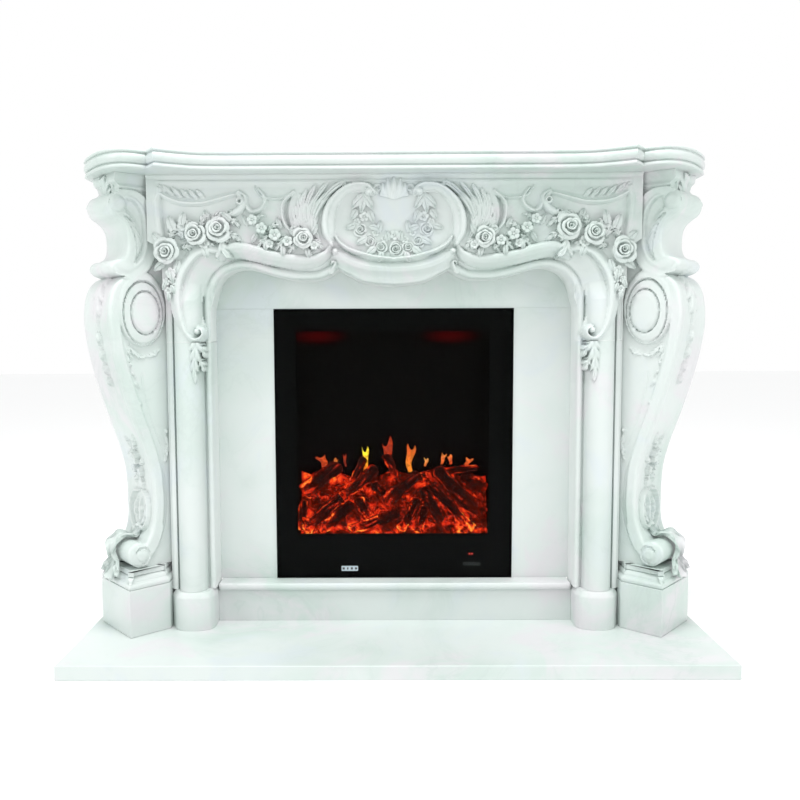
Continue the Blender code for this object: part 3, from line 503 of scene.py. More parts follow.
def friezeRelief(points):
    edge = archLine()
    half = np.column_stack([np.abs(points[:, 0]), points[:, 1]])
    gap = nearLine(half, edge)[0]
    x, z = half[:, 0], half[:, 1]
    field = friezeLook["field"]
    rise = np.interp(gap, [0, 1.2, 5, 11, 16.5, 19, 21.5, 24, 34, 48, 60],
                     [-9, -3, 3, 4.5, 2, -3, -4, -1, 3, 12, 20])
    depth = friezeLook["edge"] + rise
    onLeg = np.clip((875 - z) / 40, 0, 1) * (x > openingHalf * 1000 - 8)
    depth = depth + (jambDepth(x - openingHalf * 1000) - depth) * onLeg
    carve = Relief(half, depth)
    crest = np.interp(z, [1098, 1103, 1108, 1110, 1115, 1117, 1120, 1124, 1128],
                      [0, 1, 3, 6, 6, 3.5, 8, 12, 12])
    carve.depth = carve.depth + crest * (carve.depth > field - 4)

    # Lobe of the middle, its rim and the hollow between them
    carve.strip([(134, 940), (105, 921), (62, 908), (0, 903)], 44, 150, 24,
                [(-1, 0.5), (-0.7, 0.85), (-0.3, 1), (0.1, 0.85), (0.5, 0.45), (0.8, 0.2), (1, 0.15)])
    # Broad roll over the arch
    carve.strip([(412, 940), (392, 952), (366, 953), (330, 946), (290, 935), (240, 927), (196, 926),
                 (164, 940), (150, 960)], [26, 36, 38, 36, 34, 34, 32, 26, 14], 158,
                 [20, 24, 25, 25, 24, 24, 22, 20, 14],
                [(-1, 0.35), (-0.92, 0.78), (-0.6, 1), (-0.2, 0.95), (0.3, 0.66), (0.7, 0.28), (1, 0.0)])
    # Ridge and big scroll of the leg
    carve.strip([(420, 932), (441, 937), (458, 921), (474, 889), (480, 851), (479, 813), (468, 783),
                 (458, 768)],
                [18, 34, 42, 44, 42, 36, 24, 12], 146, [14, 18, 20, 22, 22, 20, 16, 10],
                [(-1, 0.1), (-0.6, 0.22), (-0.2, 0.45), (0.25, 0.82), (0.5, 1), (0.62, 0.95),
                 (0.75, 0.35), (1, 0.1)])
    carve.strip([(408, 957), (430, 959), (452, 957), (473, 947), (493, 925), (509, 898), (518, 866),
                 (519, 826), (513, 790), (502, 760), (484, 741), (466, 741), (455, 752), (457, 766),
                 (468, 771)],
                [24, 28, 28, 28, 29, 30, 31, 31, 30, 28, 24, 20, 16, 13, 11], 160,
                [18, 22, 24, 25, 26, 27, 28, 28, 28, 28, 27, 26, 25, 25, 26],
                [(-1, 0.0), (-0.93, 0.7), (-0.75, 0.95), (-0.35, 1), (0.1, 0.84), (0.6, 0.56),
                 (0.92, 0.42), (1, 0)])
    carve.dome((470, 762), (9, 9), 160, 30)

    # Cartouche around the garland
    carve.strip([(52, 1087), (62, 1097), (80, 1101), (102, 1098), (121, 1087), (141, 1065), (152, 1042),
                 (156, 1015), (154, 992), (146, 972)], [20, 20, 19, 20, 24, 28, 31, 33, 32, 22], 162,
                [26, 26, 26, 26, 27, 28, 28, 28, 27, 20],
                [(-1, 0.0), (-0.96, 0.35), (-0.9, 0.42), (-0.55, 0.50), (-0.15, 0.64), (-0.02, 0.70),
                 (0.03, 0.88), (0.3, 1), (0.65, 0.98), (0.88, 0.75), (1, 0.2)])
    carve.dome((58, 1088), (13, 11), 162, 31, turn=-35)
    carve.strip([(137, 983), (131, 973), (120, 963), (101, 952), (72, 943), (43, 936), (0, 931)],
                [10, 13, 14, 13, 13, 13, 13], 162, [20, 22, 22, 21, 21, 21, 21], softTop)
    inner = ((half[:, 0] < 142) & (z > 948) & (z < 1085))
    carve.depth = np.where(inner & (carve.depth < 174.5) & (carve.depth > 165), carve.depth - 2.5,
                           carve.depth)
    carve.dome((139, 949), (8, 8), 164, 20)
    carve.strip([(150, 903), (143, 914), (140, 923), (145, 927), (149, 922)], [14, 12, 10, 8, 6], 150,
                [6, 12, 16, 18, 18], roundTop)

    # Plume, and the crescent beside it
    carve.leaf([(176, 975), (190, 1010), (178, 1052), (152, 1085), (124, 1106), (112, 1099)],
               [12, 20, 22, 20, 17, 12], 168, [10, 16, 18, 20, 22, 18], 3, 0.25, 0.2)
    carve.leaf([(182, 980), (197, 1020), (190, 1060), (170, 1092), (152, 1113)], [10, 18, 20, 16, 8], 168,
               [8, 12, 14, 15, 12], 3, 0.3, 0.2)
    carve.leaf([(188, 985), (205, 1025), (203, 1065), (185, 1103)], [10, 18, 20, 8], 168,
               [8, 12, 14, 12], 3, 0.3)
    carve.leaf([(192, 988), (214, 1022), (216, 1060), (206, 1094)], [10, 20, 20, 8], 168,
               [7, 11, 12, 9], 3, 0.35)
    carve.leaf([(196, 990), (222, 1020), (226, 1050), (220, 1084)], [10, 22, 20, 7], 168,
               [7, 10, 10, 7], 4, 0.4)
    carve.leaf([(200, 985), (224, 1000), (236, 1026), (236, 1052)], [10, 18, 14, 5], 168,
               [6, 9, 8, 5], 3, 0.4)
    carve.strip([(241, 1086), (253, 1063), (256, 1036), (249, 1010), (240, 996)],
                [10, 15, 16, 14, 8], 171, -9, softTop, "sink")
    carve.strip([(236, 1089), (260, 1066), (264, 1040), (258, 1014), (243, 994)], 9, 170,
                [7, 10, 11, 10, 7], softTop)

    # Frame lines, panel and the notch
    carve.strip([(548, 1095), (540, 1089), (513, 1077), (482, 1072), (450, 1073), (419, 1080), (387, 1087),
                 (366, 1088), (352, 1080)], [30, 32, 34, 34, 34, 32, 28, 22, 14], 166,
                [14, 15, 15, 15, 15, 14, 13, 12, 10],
                [(-1, 0.2), (-0.45, 0.16), (-0.15, 0.32), (0.2, 0.55), (0.34, 0.74), (0.46, 1), (0.6, 0.98),
                 (0.72, 0.86), (1, 0.3)])
    carve.strip([(553, 1094), (560, 1072), (559, 1044), (556, 1016), (553, 985), (547, 965)],
                [22, 24, 25, 25, 24, 16], 168, [12, 14, 14, 14, 13, 10], softTop)
    for across, up, lean, tall in ((541, 1098, 24, 15), (523, 1091, 22, 15), (503, 1086, 20, 14),
                                   (484, 1083, 18, 12), (466, 1082, 18, 12), (450, 1083, 16, 10)):
        carve.leaf([(across, up - 7), (across + 0.35 * lean, up), (across + lean, up + tall)],
                   [9, 14, 4], 170, [6, 8, 5], 1, 0.1, 0.15)
    carve.strip([(366, 1089), (352, 1079), (349, 1061), (342, 1048), (331, 1042), (318, 1047), (306, 1059),
                 (304, 1075), (319, 1096)], [10, 12, 14, 15, 15, 14, 12, 10, 7], 168,
                 [12, 13, 14, 14, 14, 13, 12, 10, 7],
                softTop)
    carve.strip([(325, 1099), (309, 1081), (286, 1077), (262, 1078), (238, 1089)],
                [10, 14, 16, 14, 10], 168, [8, 10, 10, 10, 8],
                [(-1, 0), (-0.5, 0.2), (0.2, 0.5), (0.5, 1), (0.8, 0.8), (1, 0)])
    carve.strip([(368, 1086), (360, 1074), (356, 1060), (362, 1049), (376, 1040), (392, 1034), (398, 1024)],
                [10, 14, 18, 20, 18, 14, 8], 168, [12, 15, 17, 17, 16, 14, 9], roundTop)
    carve.dome((362, 1066), (11, 11), 170, 20, ((0, 0.4), (0.3, 0.5), (0.45, 1), (0.75, 0.9), (1, 0)))
    carve.dome((388, 1040), (8, 8), 170, 18, ((0, 0.4), (0.3, 0.5), (0.5, 1), (0.8, 0.8), (1, 0)))

    # Leaves of the spandrel garland
    for line, width in (([(528, 985), (522, 1000), (512, 1008)], [20, 26, 8]),
                        ([(545, 968), (560, 980), (566, 996)], [14, 20, 6]),
                        ([(548, 930), (560, 922), (564, 908)], [14, 18, 6]),
                        ([(500, 985), (510, 1006), (530, 1016)], [20, 30, 8]),
                        ([(455, 1008), (450, 1026), (436, 1036)], [16, 22, 8]),
                        ([(430, 1022), (415, 1034), (397, 1036)], [14, 18, 6]),
                        ([(396, 990), (378, 986), (362, 974)], [18, 20, 8]),
                        ([(400, 1020), (380, 1020), (364, 1008)], [14, 20, 8]),
                        ([(445, 975), (432, 964), (428, 950)], [14, 18, 6]),
                        ([(500, 960), (486, 962), (474, 966)], [14, 22, 10]),
                        ([(330, 1016), (318, 1030), (304, 1034)], [10, 12, 4]),
                        ([(296, 1000), (282, 1010), (268, 1012)], [12, 16, 5]),
                        ([(300, 985), (312, 972), (322, 958)], [14, 18, 6]),
                        ([(262, 980), (270, 964), (282, 952)], [16, 20, 6]),
                        ([(232, 975), (240, 958), (252, 944)], [14, 18, 6]),
                        ([(212, 962), (206, 950), (194, 938)], [14, 18, 6]),
                        ([(190, 975), (178, 966), (170, 956)], [14, 18, 8])):
        carve.leaf(line, width, 170, [12, 15, 9], 3, 0.45, 0.35)
    carve.leaf([(402, 990), (405, 965), (398, 945), (386, 934)], [20, 28, 26, 8], 176,
               [10, 12, 13, 8], 3, 0.5)
    for centre, radius, tall in (((333, 1022), 13, 16), ((312, 1002), 14, 18), ((281, 987), 15, 18),
                                 ((251, 972), 13, 17), ((293, 966), 11, 14), ((236, 1000), 10, 14),
                                 ((492, 1012), 15, 15), ((447, 972), 13, 17), ((402, 1030), 10, 13),
                                 ((528, 899), 12, 15), ((520, 885), 9, 14), ((538, 880), 10, 14),
                                 ((534, 858), 9, 14), ((189, 962), 11, 15)):
        carve.flower(centre, radius, 168, tall, 5, centre[0] * 7)
    carve.leaf([(530, 870), (533, 850), (534, 826)], [14, 14, 4], 160, [16, 14, 8], 3, 0.4)
    for centre in ((537, 948), (470, 990), (413, 1003), (213, 978)):
        carve.dome(centre, (22, 22), 170, 14)
    return carve.depth


# Closes a sheet of points, given row by row with its underside, into a thin solid
def closeSheet(upper, lower, rows, columns):
    index = np.arange(rows * columns).reshape(rows, columns)
    shift = rows * columns
    a, b = index[:-1, :-1].ravel(), index[1:, :-1].ravel()
    c, d = index[1:, 1:].ravel(), index[:-1, 1:].ravel()
    faces = [tuple(f) for f in np.column_stack([a, b, c, d])]
    faces += [tuple(f) for f in np.column_stack([d, c, b, a]) + shift]
    rim = list(index[0, :-1]) + list(index[:-1, -1]) + list(index[-1, :0:-1]) + list(index[:0:-1, 0])
    faces += [(q, p, p + shift, q + shift) for p, q in zip(rim, rim[1:] + rim[:1])]
    return np.vstack([upper, lower]), faces


def thicken(upper, rows, columns, thick):
    grid = upper.reshape(rows, columns, 3)
    along = np.gradient(grid, axis=0)
    across = np.gradient(grid, axis=1)
    normal = np.cross(along, across).reshape(-1, 3)
    normal /= np.maximum(np.linalg.norm(normal, axis=1), 1e-9)[:, None]
    return closeSheet(upper, upper - normal * thick, rows, columns)


# Leaf with a groove down its middle, that points along an angle
def leafBlade(length, width, turn, height, rows=11, columns=9):
    points = []
    for row in range(rows):
        v = row / (rows - 1)
        half = width / 2 * math.sin(math.pi * (0.10 + 0.88 * v)) ** 0.75 * (1.2 - 0.35 * v)
        half *= 1 + 0.13 * math.cos(6 * math.pi * v)
        for column in range(columns):
            u = 2 * column / (columns - 1) - 1
            along = length * v - 0.10 * length * abs(u) * (1 - v)
            rise = height * (0.35 + 0.65 * math.sin(math.pi * (0.10 + 0.72 * v))) * (1 - 0.45 * u * u)
            rise -= 0.30 * height * math.exp(-(u / 0.20) ** 2)
            points.append((along * math.cos(turn) - half * u * math.sin(turn),
                           along * math.sin(turn) + half * u * math.cos(turn), rise))
    return thicken(np.array(points), rows, columns, -0.10 * width)


# Round tube along a path, with a radius at each point
def tubeAlong(path, radii, sides=12):
    path = np.asarray(path, float)
    way = np.gradient(path, axis=0)
    way /= np.linalg.norm(way, axis=1)[:, None]
    side = np.cross(way, (0.0, 0.0, 1.0))
    side /= np.linalg.norm(side, axis=1)[:, None]
    lift = np.cross(side, way)
    points = []
    for spot, a, b, radius in zip(path, side, lift, radii):
        for k in range(sides):
            angle = 2 * math.pi * k / sides
            points.append(spot + (a * math.cos(angle) + b * math.sin(angle)) * radius)
    faces = []
    for row in range(len(path) - 1):
        for k in range(sides):
            m = (k + 1) % sides
            faces.append((row * sides + k, row * sides + m, (row + 1) * sides + m, (row + 1) * sides + k))
    faces.append(tuple(reversed(range(sides))))
    faces.append(tuple(range((len(path) - 1) * sides, len(path) * sides)))
    return np.array(points), faces


# Curled petal between two distances from the middle
def petal(middle, turn, inner, outer, low, high, spread, curl, thick):
    rows, columns = 6, 7
    points = []
    for row in range(rows):
        v = row / (rows - 1)
        for column in range(columns):
            u = 2 * column / (columns - 1) - 1
            far = inner + (outer - inner) * v ** 0.8 * (1 - 0.20 * u * u * v)
            tall = low + (high - low) * math.sin(min(1.0, v * 1.25) * math.pi / 2) * (1 - 0.22 * u * u)
            if v > 0.75:
                far += curl * (v - 0.75) * 4 * (1 - 0.5 * u * u)
                tall -= 0.8 * curl * ((v - 0.75) * 4) ** 2
            angle = turn + u * spread * (0.72 + 0.28 * math.sin(v * math.pi * 0.75))
            points.append((far * math.cos(angle), far * math.sin(angle), tall))
    shape, faces = thicken(np.array(points), rows, columns, thick)
    return shape + middle, faces


# Rounded button
def dome3d(radius, height, sides=14, rows=5):
    points = [(0, 0, height)]
    for row in range(1, rows + 1):
        angle = row / rows * math.pi / 2
        for k in range(sides):
            turn = 2 * math.pi * k / sides
            points.append((radius * math.sin(angle) * math.cos(turn),
                           radius * math.sin(angle) * math.sin(turn), height * math.cos(angle)))
    faces = [(0, 1 + k, 1 + (k + 1) % sides) for k in range(sides)]
    for row in range(rows - 1):
        first = 1 + row * sides
        for k in range(sides):
            m = (k + 1) % sides
            faces.append((first + k, first + sides + k, first + sides + m, first + m))
    return np.array(points), faces


roseLook = {
    "bud": (0.20, 0.38), "drift": 0.045, "thick": 0.06,
    "rings": [
        # each: petals, inner and outer reach, low and high edge, spread, curl
        (3, 0.05, 0.22, 0.45, 0.96, 1.20, 0.02), (3, 0.20, 0.44, 0.42, 1.02, 1.20, 0.07),
        (5, 0.42, 0.74, 0.18, 0.86, 0.80, 0.14), (5, 0.60, 1.02, 0.02, 0.58, 0.80, 0.20),
    ],
}


# Rose of curled petals: a hollow bud and rings of petals that drift off its middle
def rose(radius, height, turn=0.0, layers=3):
    look = roseLook
    parts = [dome3d(look["bud"][0] * radius, look["bud"][1] * height, 10, 4)]
    rings = look["rings"][:layers + 1]
    size = 1 / rings[-1][2]
    for layer, (count, inner, outer, low, high, spread, curl) in enumerate(rings):
        drift = look["drift"] * radius * layer
        off = (drift * math.sin(2.3 * layer + 2 * turn), drift * math.cos(2.3 * layer + 2 * turn), 0)
        for k in range(count):
            angle = turn + 2 * math.pi * (k + 0.37 * layer) / count
            angle += 0.16 * math.sin(7.3 * k + 2.1 * layer + 3 * turn)
            wide = spread * (1 + 0.12 * math.sin(5.1 * k + layer))
            reach = outer * (1 + 0.09 * math.sin(4.1 * k + 1.7 * layer + 5 * turn))
            tall = high * height * (1 + 0.08 * math.cos(3.7 * k + turn))
            shape = (inner * radius * size, reach * radius * size, low * height, tall, wide, curl * radius)
            parts.append(petal(off, angle, *shape, look["thick"] * radius))
    return parts


# Small open flower of five petals
def blossom(radius, height, turn=0.0, petals=5):
    parts = [dome3d(0.24 * radius, 0.85 * height, 8, 3)]
    for k in range(petals):
        angle = turn + 2 * math.pi * k / petals
        parts.append(petal((0, 0, 0), angle, 0.12 * radius, 0.98 * radius, 0.30 * height,
                           0.92 * height, 0.62, 0.06 * radius, 0.10 * radius))
    return parts


# Stands carved members on a face: each part is (foot, way it faces, way up, members)
def plantFlowers(parts):
    points, faces, count = [], [], 0
    for spot, facing, upward, members in parts:
        side = np.cross(upward, facing)
        side /= np.linalg.norm(side)
        lift = np.cross(facing, side)
        frameRows = np.array([side, lift, facing])
        for partPoints, partFaces in members:
            world = np.asarray(spot) + partPoints @ frameRows
            points.append(world)
            faces += [tuple(i + count for i in f) for f in partFaces]
            count += len(partPoints)
    return np.vstack(points), faces


def buildFrieze():
    look = friezeLook
    edge = archLine()
    top = friezeTop * 1000
    outer = columnOuter * 1000
    right = [(0, top), (look["endX"], top), (look["endX"], look["shoulder"]), (outer, look["elbow"]),
             (outer, friezeBottom * 1000)]
    line = np.vstack([right, edge])[:-1]
    mirrored = line[::-1] * (-1, 1)
    outline = np.vstack([line[1:], [(0, look["crown"][-1][1])], mirrored[:-1]])[::-1]
    corners = [(side * x, z) for side in (-1, 1) for x, z in right[1:] + [tuple(edge[0])]]
    points, faces = fillOutline(outline, look["grid"], corners)
    depth = friezeRelief(points)
    away = np.abs(points[:, 0])
    stile = np.clip((away - outer) / 10, 0, 1)
    depth = np.where(away > outer, depth + (np.maximum(depth, look["endFront"]) - depth) * stile, depth)
    loop = np.array(edgeLoop(faces))
    count = len(points)
    front = np.column_stack([points[:, 0] / 1000, wall - depth / 1000, points[:, 1] / 1000])
    x = points[loop, 0] / 1000
    reach = np.clip(x, -columnOuter, columnOuter)
    fold = np.where(np.abs(x) > columnOuter + 1e-6, 0.0502, friezeBack)
    middle = np.column_stack([reach, fold, points[loop, 1] / 1000])
    back = np.column_stack([reach, np.full(len(loop), friezeBack), points[loop, 1] / 1000])
    rim = len(loop)
    allFaces = [tuple(f) for f in faces]
    for k in range(rim):
        m = (k + 1) % rim
        allFaces.append((loop[m], loop[k], count + k, count + m))
        allFaces.append((count + m, count + k, count + rim + k, count + rim + m))
    allFaces.append(tuple(range(count + rim, count + 2 * rim)))
    makePiece("friezeSlab", np.vstack([front, middle, back]), allFaces, carvedMarblePaintedLight, "marble", ["frieze"])
    return Relief(points, depth)


friezeCarving = buildFrieze()


def friezeDepthAt(x, z):
    return friezeCarving.depth[((friezeCarving.points - (x, z)) ** 2).sum(1).argmin()]


garland = {
    "roses": [(537, 948, 27, 20), (470, 990, 23, 19), (413, 1003, 26, 20), (213, 978, 21, 18)],
    "blossoms": [(496, 1011, 14, 9), (333, 1022, 12, 9), (312, 1002, 13, 10), (281, 987, 14, 10),
                 (251, 972, 12, 10), (294, 966, 10, 8), (447, 968, 13, 10), (403, 1031, 10, 8),
                 (527, 899, 13, 9), (539, 879, 9, 8), (521, 880, 9, 8), (534, 858, 8, 7), (189, 962, 10, 8),
                 (236, 999, 9, 7)],
    "middleRoses": [(4, 953, 17, 15), (-79, 1000, 15, 12), (79, 1000, 15, 12), (-57, 972, 14, 11),
                    (57, 972, 14, 11), (-31, 958, 13, 11), (33, 958, 13, 11)],
    "shell": {"flutes": 5, "inner": 26, "base": 22, "outer": 73, "spread": 0.64, "crown": 14.0,
              "flute": 2.8, "pivot": 1044},
    "curl": {"x": 37, "z": 1096, "big": 11.0, "small": 4.5, "first": -110, "turns": 1.25, "thick": 6.0},
    "leaves": [
        # where it grows from, length, width and the way it points, in millimetres and degrees
        (520, 1000, 34, 18, 70), (550, 975, 26, 14, 40), (546, 925, 30, 16, -40), (500, 1012, 30, 16, 100),
        (440, 1018, 30, 15, 75), (385, 1022, 26, 13, 40), (388, 985, 30, 14, -20), (450, 962, 30, 15, -110),
        (512, 925, 34, 16, -80), (345, 1012, 26, 12, 60), (325, 990, 24, 11, -60), (268, 1004, 26, 12, 70),
        (262, 960, 24, 11, -90), (300, 975, 26, 12, -80), (192, 990, 24, 12, 120), (230, 985, 22, 11, 40),
        (205, 955, 22, 11, -100), (528, 905, 30, 12, -100), (540, 882, 24, 10, -70),
        (527, 870, 22, 9, -110), (534, 852, 20, 9, -90),
    ],
    "middleLeaves": [
        (70, 1080, 42, 17, -46), (70, 1080, 42, 15, -79), (70, 1080, 38, 15, -121), (88, 1045, 26, 13, -60),
        (58, 1042, 28, 13, -110), (92, 1010, 24, 12, -20), (56, 1008, 24, 12, 200), (64, 980, 30, 14, -30),
        (36, 995, 26, 12, 100), (45, 957, 28, 14, -40), (28, 946, 24, 12, -70), (14, 975, 22, 12, 80),
    ],
    "middleBlossoms": [(-70, 1030, 12, 9), (70, 1030, 12, 9), (2, 986, 12, 8), (-22, 978, 9, 7),
                       (26, 976, 9, 7), (-88, 1018, 9, 7), (88, 1018, 9, 7), (-44, 992, 9, 7),
                       (44, 992, 9, 7)],
}


def shellFan():
    look = garland["shell"]
    rows, columns = 18, 85
    points = []
    for row in range(rows):
        v = row / (rows - 1)
        for column in range(columns):
            u = 2 * column / (columns - 1) - 1
            ripple = math.cos(math.pi * look["flutes"] * u)
            outer = look["outer"] * (1 - 0.17 * abs(u) ** 2.2) * (1 + 0.045 * ripple)
            inner = look["inner"] + look["base"] * u * u
            far = inner + (outer - inner) * v
            angle = u * look["spread"] * (1.25 - 0.42 * v)
            rise = look["crown"] * math.sin(math.pi * (0.10 + 0.62 * v)) * (1 - 0.30 * u * u)
            rise += look["flute"] * ripple * v ** 0.6
            points.append((far * math.sin(angle), look["pivot"] + far * math.cos(angle), rise))
    upper = np.array(points).reshape(rows, columns, 3)[::-1].reshape(-1, 3)
    return thicken(upper / 1000, rows, columns, 0.006)


def shellCurl(side):
    look = garland["curl"]
    path, radii = [], []
    for step in range(47):
        share = step / 46
        angle = math.radians(look["first"]) + share * look["turns"] * 2 * math.pi
        far = look["big"] + (look["small"] - look["big"]) * share
        path.append((side * (look["x"] + far * math.cos(angle)), look["z"] + far * math.sin(angle),
                     2.0 + 2.5 * share))
        radii.append(look["thick"] * (1 - 0.45 * share) * min(1.0, 0.35 + 5 * share))
    return tubeAlong(np.array(path) / 1000, np.array(radii) / 1000)


def buildGarland():
    parts = []
    facing = np.array([0, -1.0, 0.06])
    facing /= np.linalg.norm(facing)
    upright = np.array([0, 0, 1.0])
    for group, make in (("roses", rose), ("blossoms", blossom), ("middleRoses", rose),
                        ("middleBlossoms", blossom)):
        for number, (x, z, radius, height) in enumerate(garland[group]):
            layers = {"layers": 3 if radius > 13 else 2} if make is rose else {}
            for side in (-1, 1) if "middle" not in group else (1,):
                ground = min(friezeDepthAt(x, z), 186 if group == "roses" else 182)
                spot = (side * x / 1000, wall - (ground - 3) / 1000, z / 1000)
                lean = facing + np.array([side * 0.0003 * (x - 300) if "middle" not in group else 0, 0, 0])
                members = make(radius / 1000, height / 1000, 0.9 * number + side * 0.4, **layers)
                parts.append((spot, lean / np.linalg.norm(lean), upright, members))
    for group in ("leaves", "middleLeaves"):
        for x, z, length, width, turn in garland[group]:
            for side in (-1, 1):
                ground = min(friezeDepthAt(x, z), 184)
                angle = math.radians(turn if side > 0 else 180 - turn)
                tip = (x + length * 0.7 * math.cos(math.radians(turn)),
                       z + length * 0.7 * math.sin(math.radians(turn)))
                ground = max(ground, min(friezeDepthAt(*tip), 184) - 2)
                spot = (side * x / 1000, wall - (ground - 2.5) / 1000, z / 1000)
                parts.append((spot, facing, upright,
                              [leafBlade(length / 1000, width / 1000, angle, 0.0105)]))
    front = friezeDepthAt(0, 1068)
    parts.append(((0, wall - (front - 1) / 1000, 0), np.array([0, -1.0, 0]), upright,
                  [shellFan(), shellCurl(1), shellCurl(-1)]))
    points, faces = plantFlowers(parts)
    makePiece("friezeGarland", points, faces, carvedMarblePaintedLight, "marble", ["frieze"], 60)


buildGarland()


print("mantel: jambs, bases and plinths")


def jambPlan():
    across = np.concatenate([np.linspace(0, 15, 11), [16, 18.3], np.linspace(20.5, 88.5, 41),
                             [90.9, 92.5, 97.5, 102.4, 103.5, 106, 108]])
    return across, jambDepth(across)


# Skin over rings of equal count
def sweepRings(rings, caps=True):
    count = len(rings[0])
    points = np.vstack(rings)
    faces = []
    for row in range(len(rings) - 1):
        low, high = row * count, (row + 1) * count
        for k in range(count):
            m = (k + 1) % count
            faces.append((low + k, low + m, high + m, high + k))
    if caps:
        faces.append(tuple(range(count))[::-1])
        faces.append(tuple(range((len(rings) - 1) * count, len(rings) * count)))
    return points, faces


def mirrorFaces(points, faces, side):
    points = np.array(points, float)
    if side < 0:
        points[:, 0] *= -1
        faces = [tuple(reversed(f)) for f in faces]
    return points, faces


def buildJamb(side, word):
    across, depth = jambPlan()
    low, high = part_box(word + "_column")
    levels = np.concatenate([[low[2]], np.linspace(high[2] - 0.105, high[2], 44)])
    rings = []
    for level in levels:
        spots = np.column_stack([across + openingHalf * 1000, np.full(len(across), level * 1000)])
        leaf = Relief(spots, depth.copy())
        pendant(leaf)
        x = openingHalf + across / 1000
        y = wall - leaf.depth / 1000
        x = np.concatenate([[openingHalf], x, [columnOuter]])
        y = np.concatenate([[friezeBack], y, [friezeBack]])
        rings.append(np.column_stack([x, y, np.full(len(x), level)]))
    points, faces = sweepRings(rings)
    points, faces = mirrorFaces(points, faces, side)
    makePiece(word + "Jamb", points, faces, carvedMarblePaintedLight, "marble", [word + "_column"])


# Leaf that hangs from the scroll's foot down the shaft
def pendant(carve):
    base = 174
    carve.leaf([(474, 738), (475, 715), (477, 690), (478, 662), (476, 640)], [30, 34, 26, 20, 6], base,
               [12, 13, 12, 10, 6], 4, 0.45, 0.3)
    carve.leaf([(476, 734), (492, 722), (505, 708)], [20, 22, 8], base - 6, [14, 14, 10], 3, 0.45, 0.3)
    carve.leaf([(472, 734), (460, 718), (454, 700)], [18, 20, 8], base - 6, [13, 13, 8], 3, 0.45, 0.3)
    carve.leaf([(480, 700), (494, 688), (500, 670)], [16, 18, 6], base - 3, [10, 11, 8], 3, 0.45, 0.3)
    carve.leaf([(472, 700), (462, 684), (458, 666)], [16, 18, 6], base - 4, [10, 11, 8], 3, 0.45, 0.3)


# Moves a closed outline inwards
def offsetRing(outline, inset):
    edges = np.roll(outline, -1, axis=0) - outline
    edges /= np.maximum(np.linalg.norm(edges, axis=1), 1e-9)[:, None]
    normals = np.column_stack([-edges[:, 1], edges[:, 0]])
    before = np.roll(normals, 1, axis=0)
    mitre = (normals + before) / (1 + (normals * before).sum(1))[:, None]
    return outline + mitre * inset


def roundCorners(plan, radii, steps=5):
    plan = [np.array(p, float) for p in plan]
    points = []
    for k, corner in enumerate(plan):
        radius = radii[k]
        if radius <= 0:
            points.append(corner)
            continue
        a, b = plan[k - 1] - corner, plan[(k + 1) % len(plan)] - corner
        radius = min(radius, 0.45 * np.linalg.norm(a), 0.45 * np.linalg.norm(b))
        a, b = a / np.linalg.norm(a), b / np.linalg.norm(b)
        for t in np.linspace(0, 1, steps + 1):
            points.append(corner + a * radius * (1 - t) ** 2 + b * radius * t ** 2)
    return np.array(points)


# Block with a moulded side: profile is (set back, height) from its underside up
def mouldedBlock(plan, profile, base):
    rings = []
    for inset, height in profile:
        ring = offsetRing(plan, inset)
        rings.append(np.column_stack([ring, np.full(len(ring), base + height)]))
    return sweepRings(rings)


def buildJambBase(side, word):
    low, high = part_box("right_column_base")
    width = high[0] - low[0]
    front = low[1]
    cant = 0.20 * width
    plan = [(low[0], high[1]), (low[0], front + 1.3 * cant), (low[0] + 0.4 * cant, front + 0.5 * cant),
            (low[0] + 1.5 * cant, front), (high[0] - 1.7 * cant, front),
            (high[0] - 0.8 * cant, front + 0.5 * cant), (high[0] - 0.3 * cant, front + 1.5 * cant),
            (high[0], front + 2.0 * cant), (high[0], high[1])]
    plan = roundCorners(plan, [0, 0.008, 0.006, 0.010, 0.010, 0.008, 0.008, 0.008, 0], 4)
    tall = high[2] - low[2]
    profile = [(0, 0), (0, tall - 0.0145), (0.0012, tall - 0.0110), (0.0045, tall - 0.005), (0.008, tall)]
    points, faces = mirrorFaces(*mouldedBlock(plan, profile, low[2]), side)
    makePiece(word + "JambBase", points, faces, marble, "marble", [word + "_column_base"], 30)


consoleFrame = {"cant": math.radians(48), "cornerOut": 0.078, "plinthWidth": 0.160}
frontWay = np.array([math.sin(consoleFrame["cant"]), -math.cos(consoleFrame["cant"])])
innerWay = np.array([-math.cos(consoleFrame["cant"]), -math.sin(consoleFrame["cant"])])
plinthCorner = np.array([columnOuter + consoleFrame["cornerOut"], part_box("right_plinth")[0][1]])
consoleCentre = plinthCorner - innerWay * consoleFrame["plinthWidth"] / 2
jointGap = 0.0003


plinthLook = {"block": 0.114, "edge": 0.002, "torus": 0.007, "coveOut": 0.009, "coveTall": 0.014}


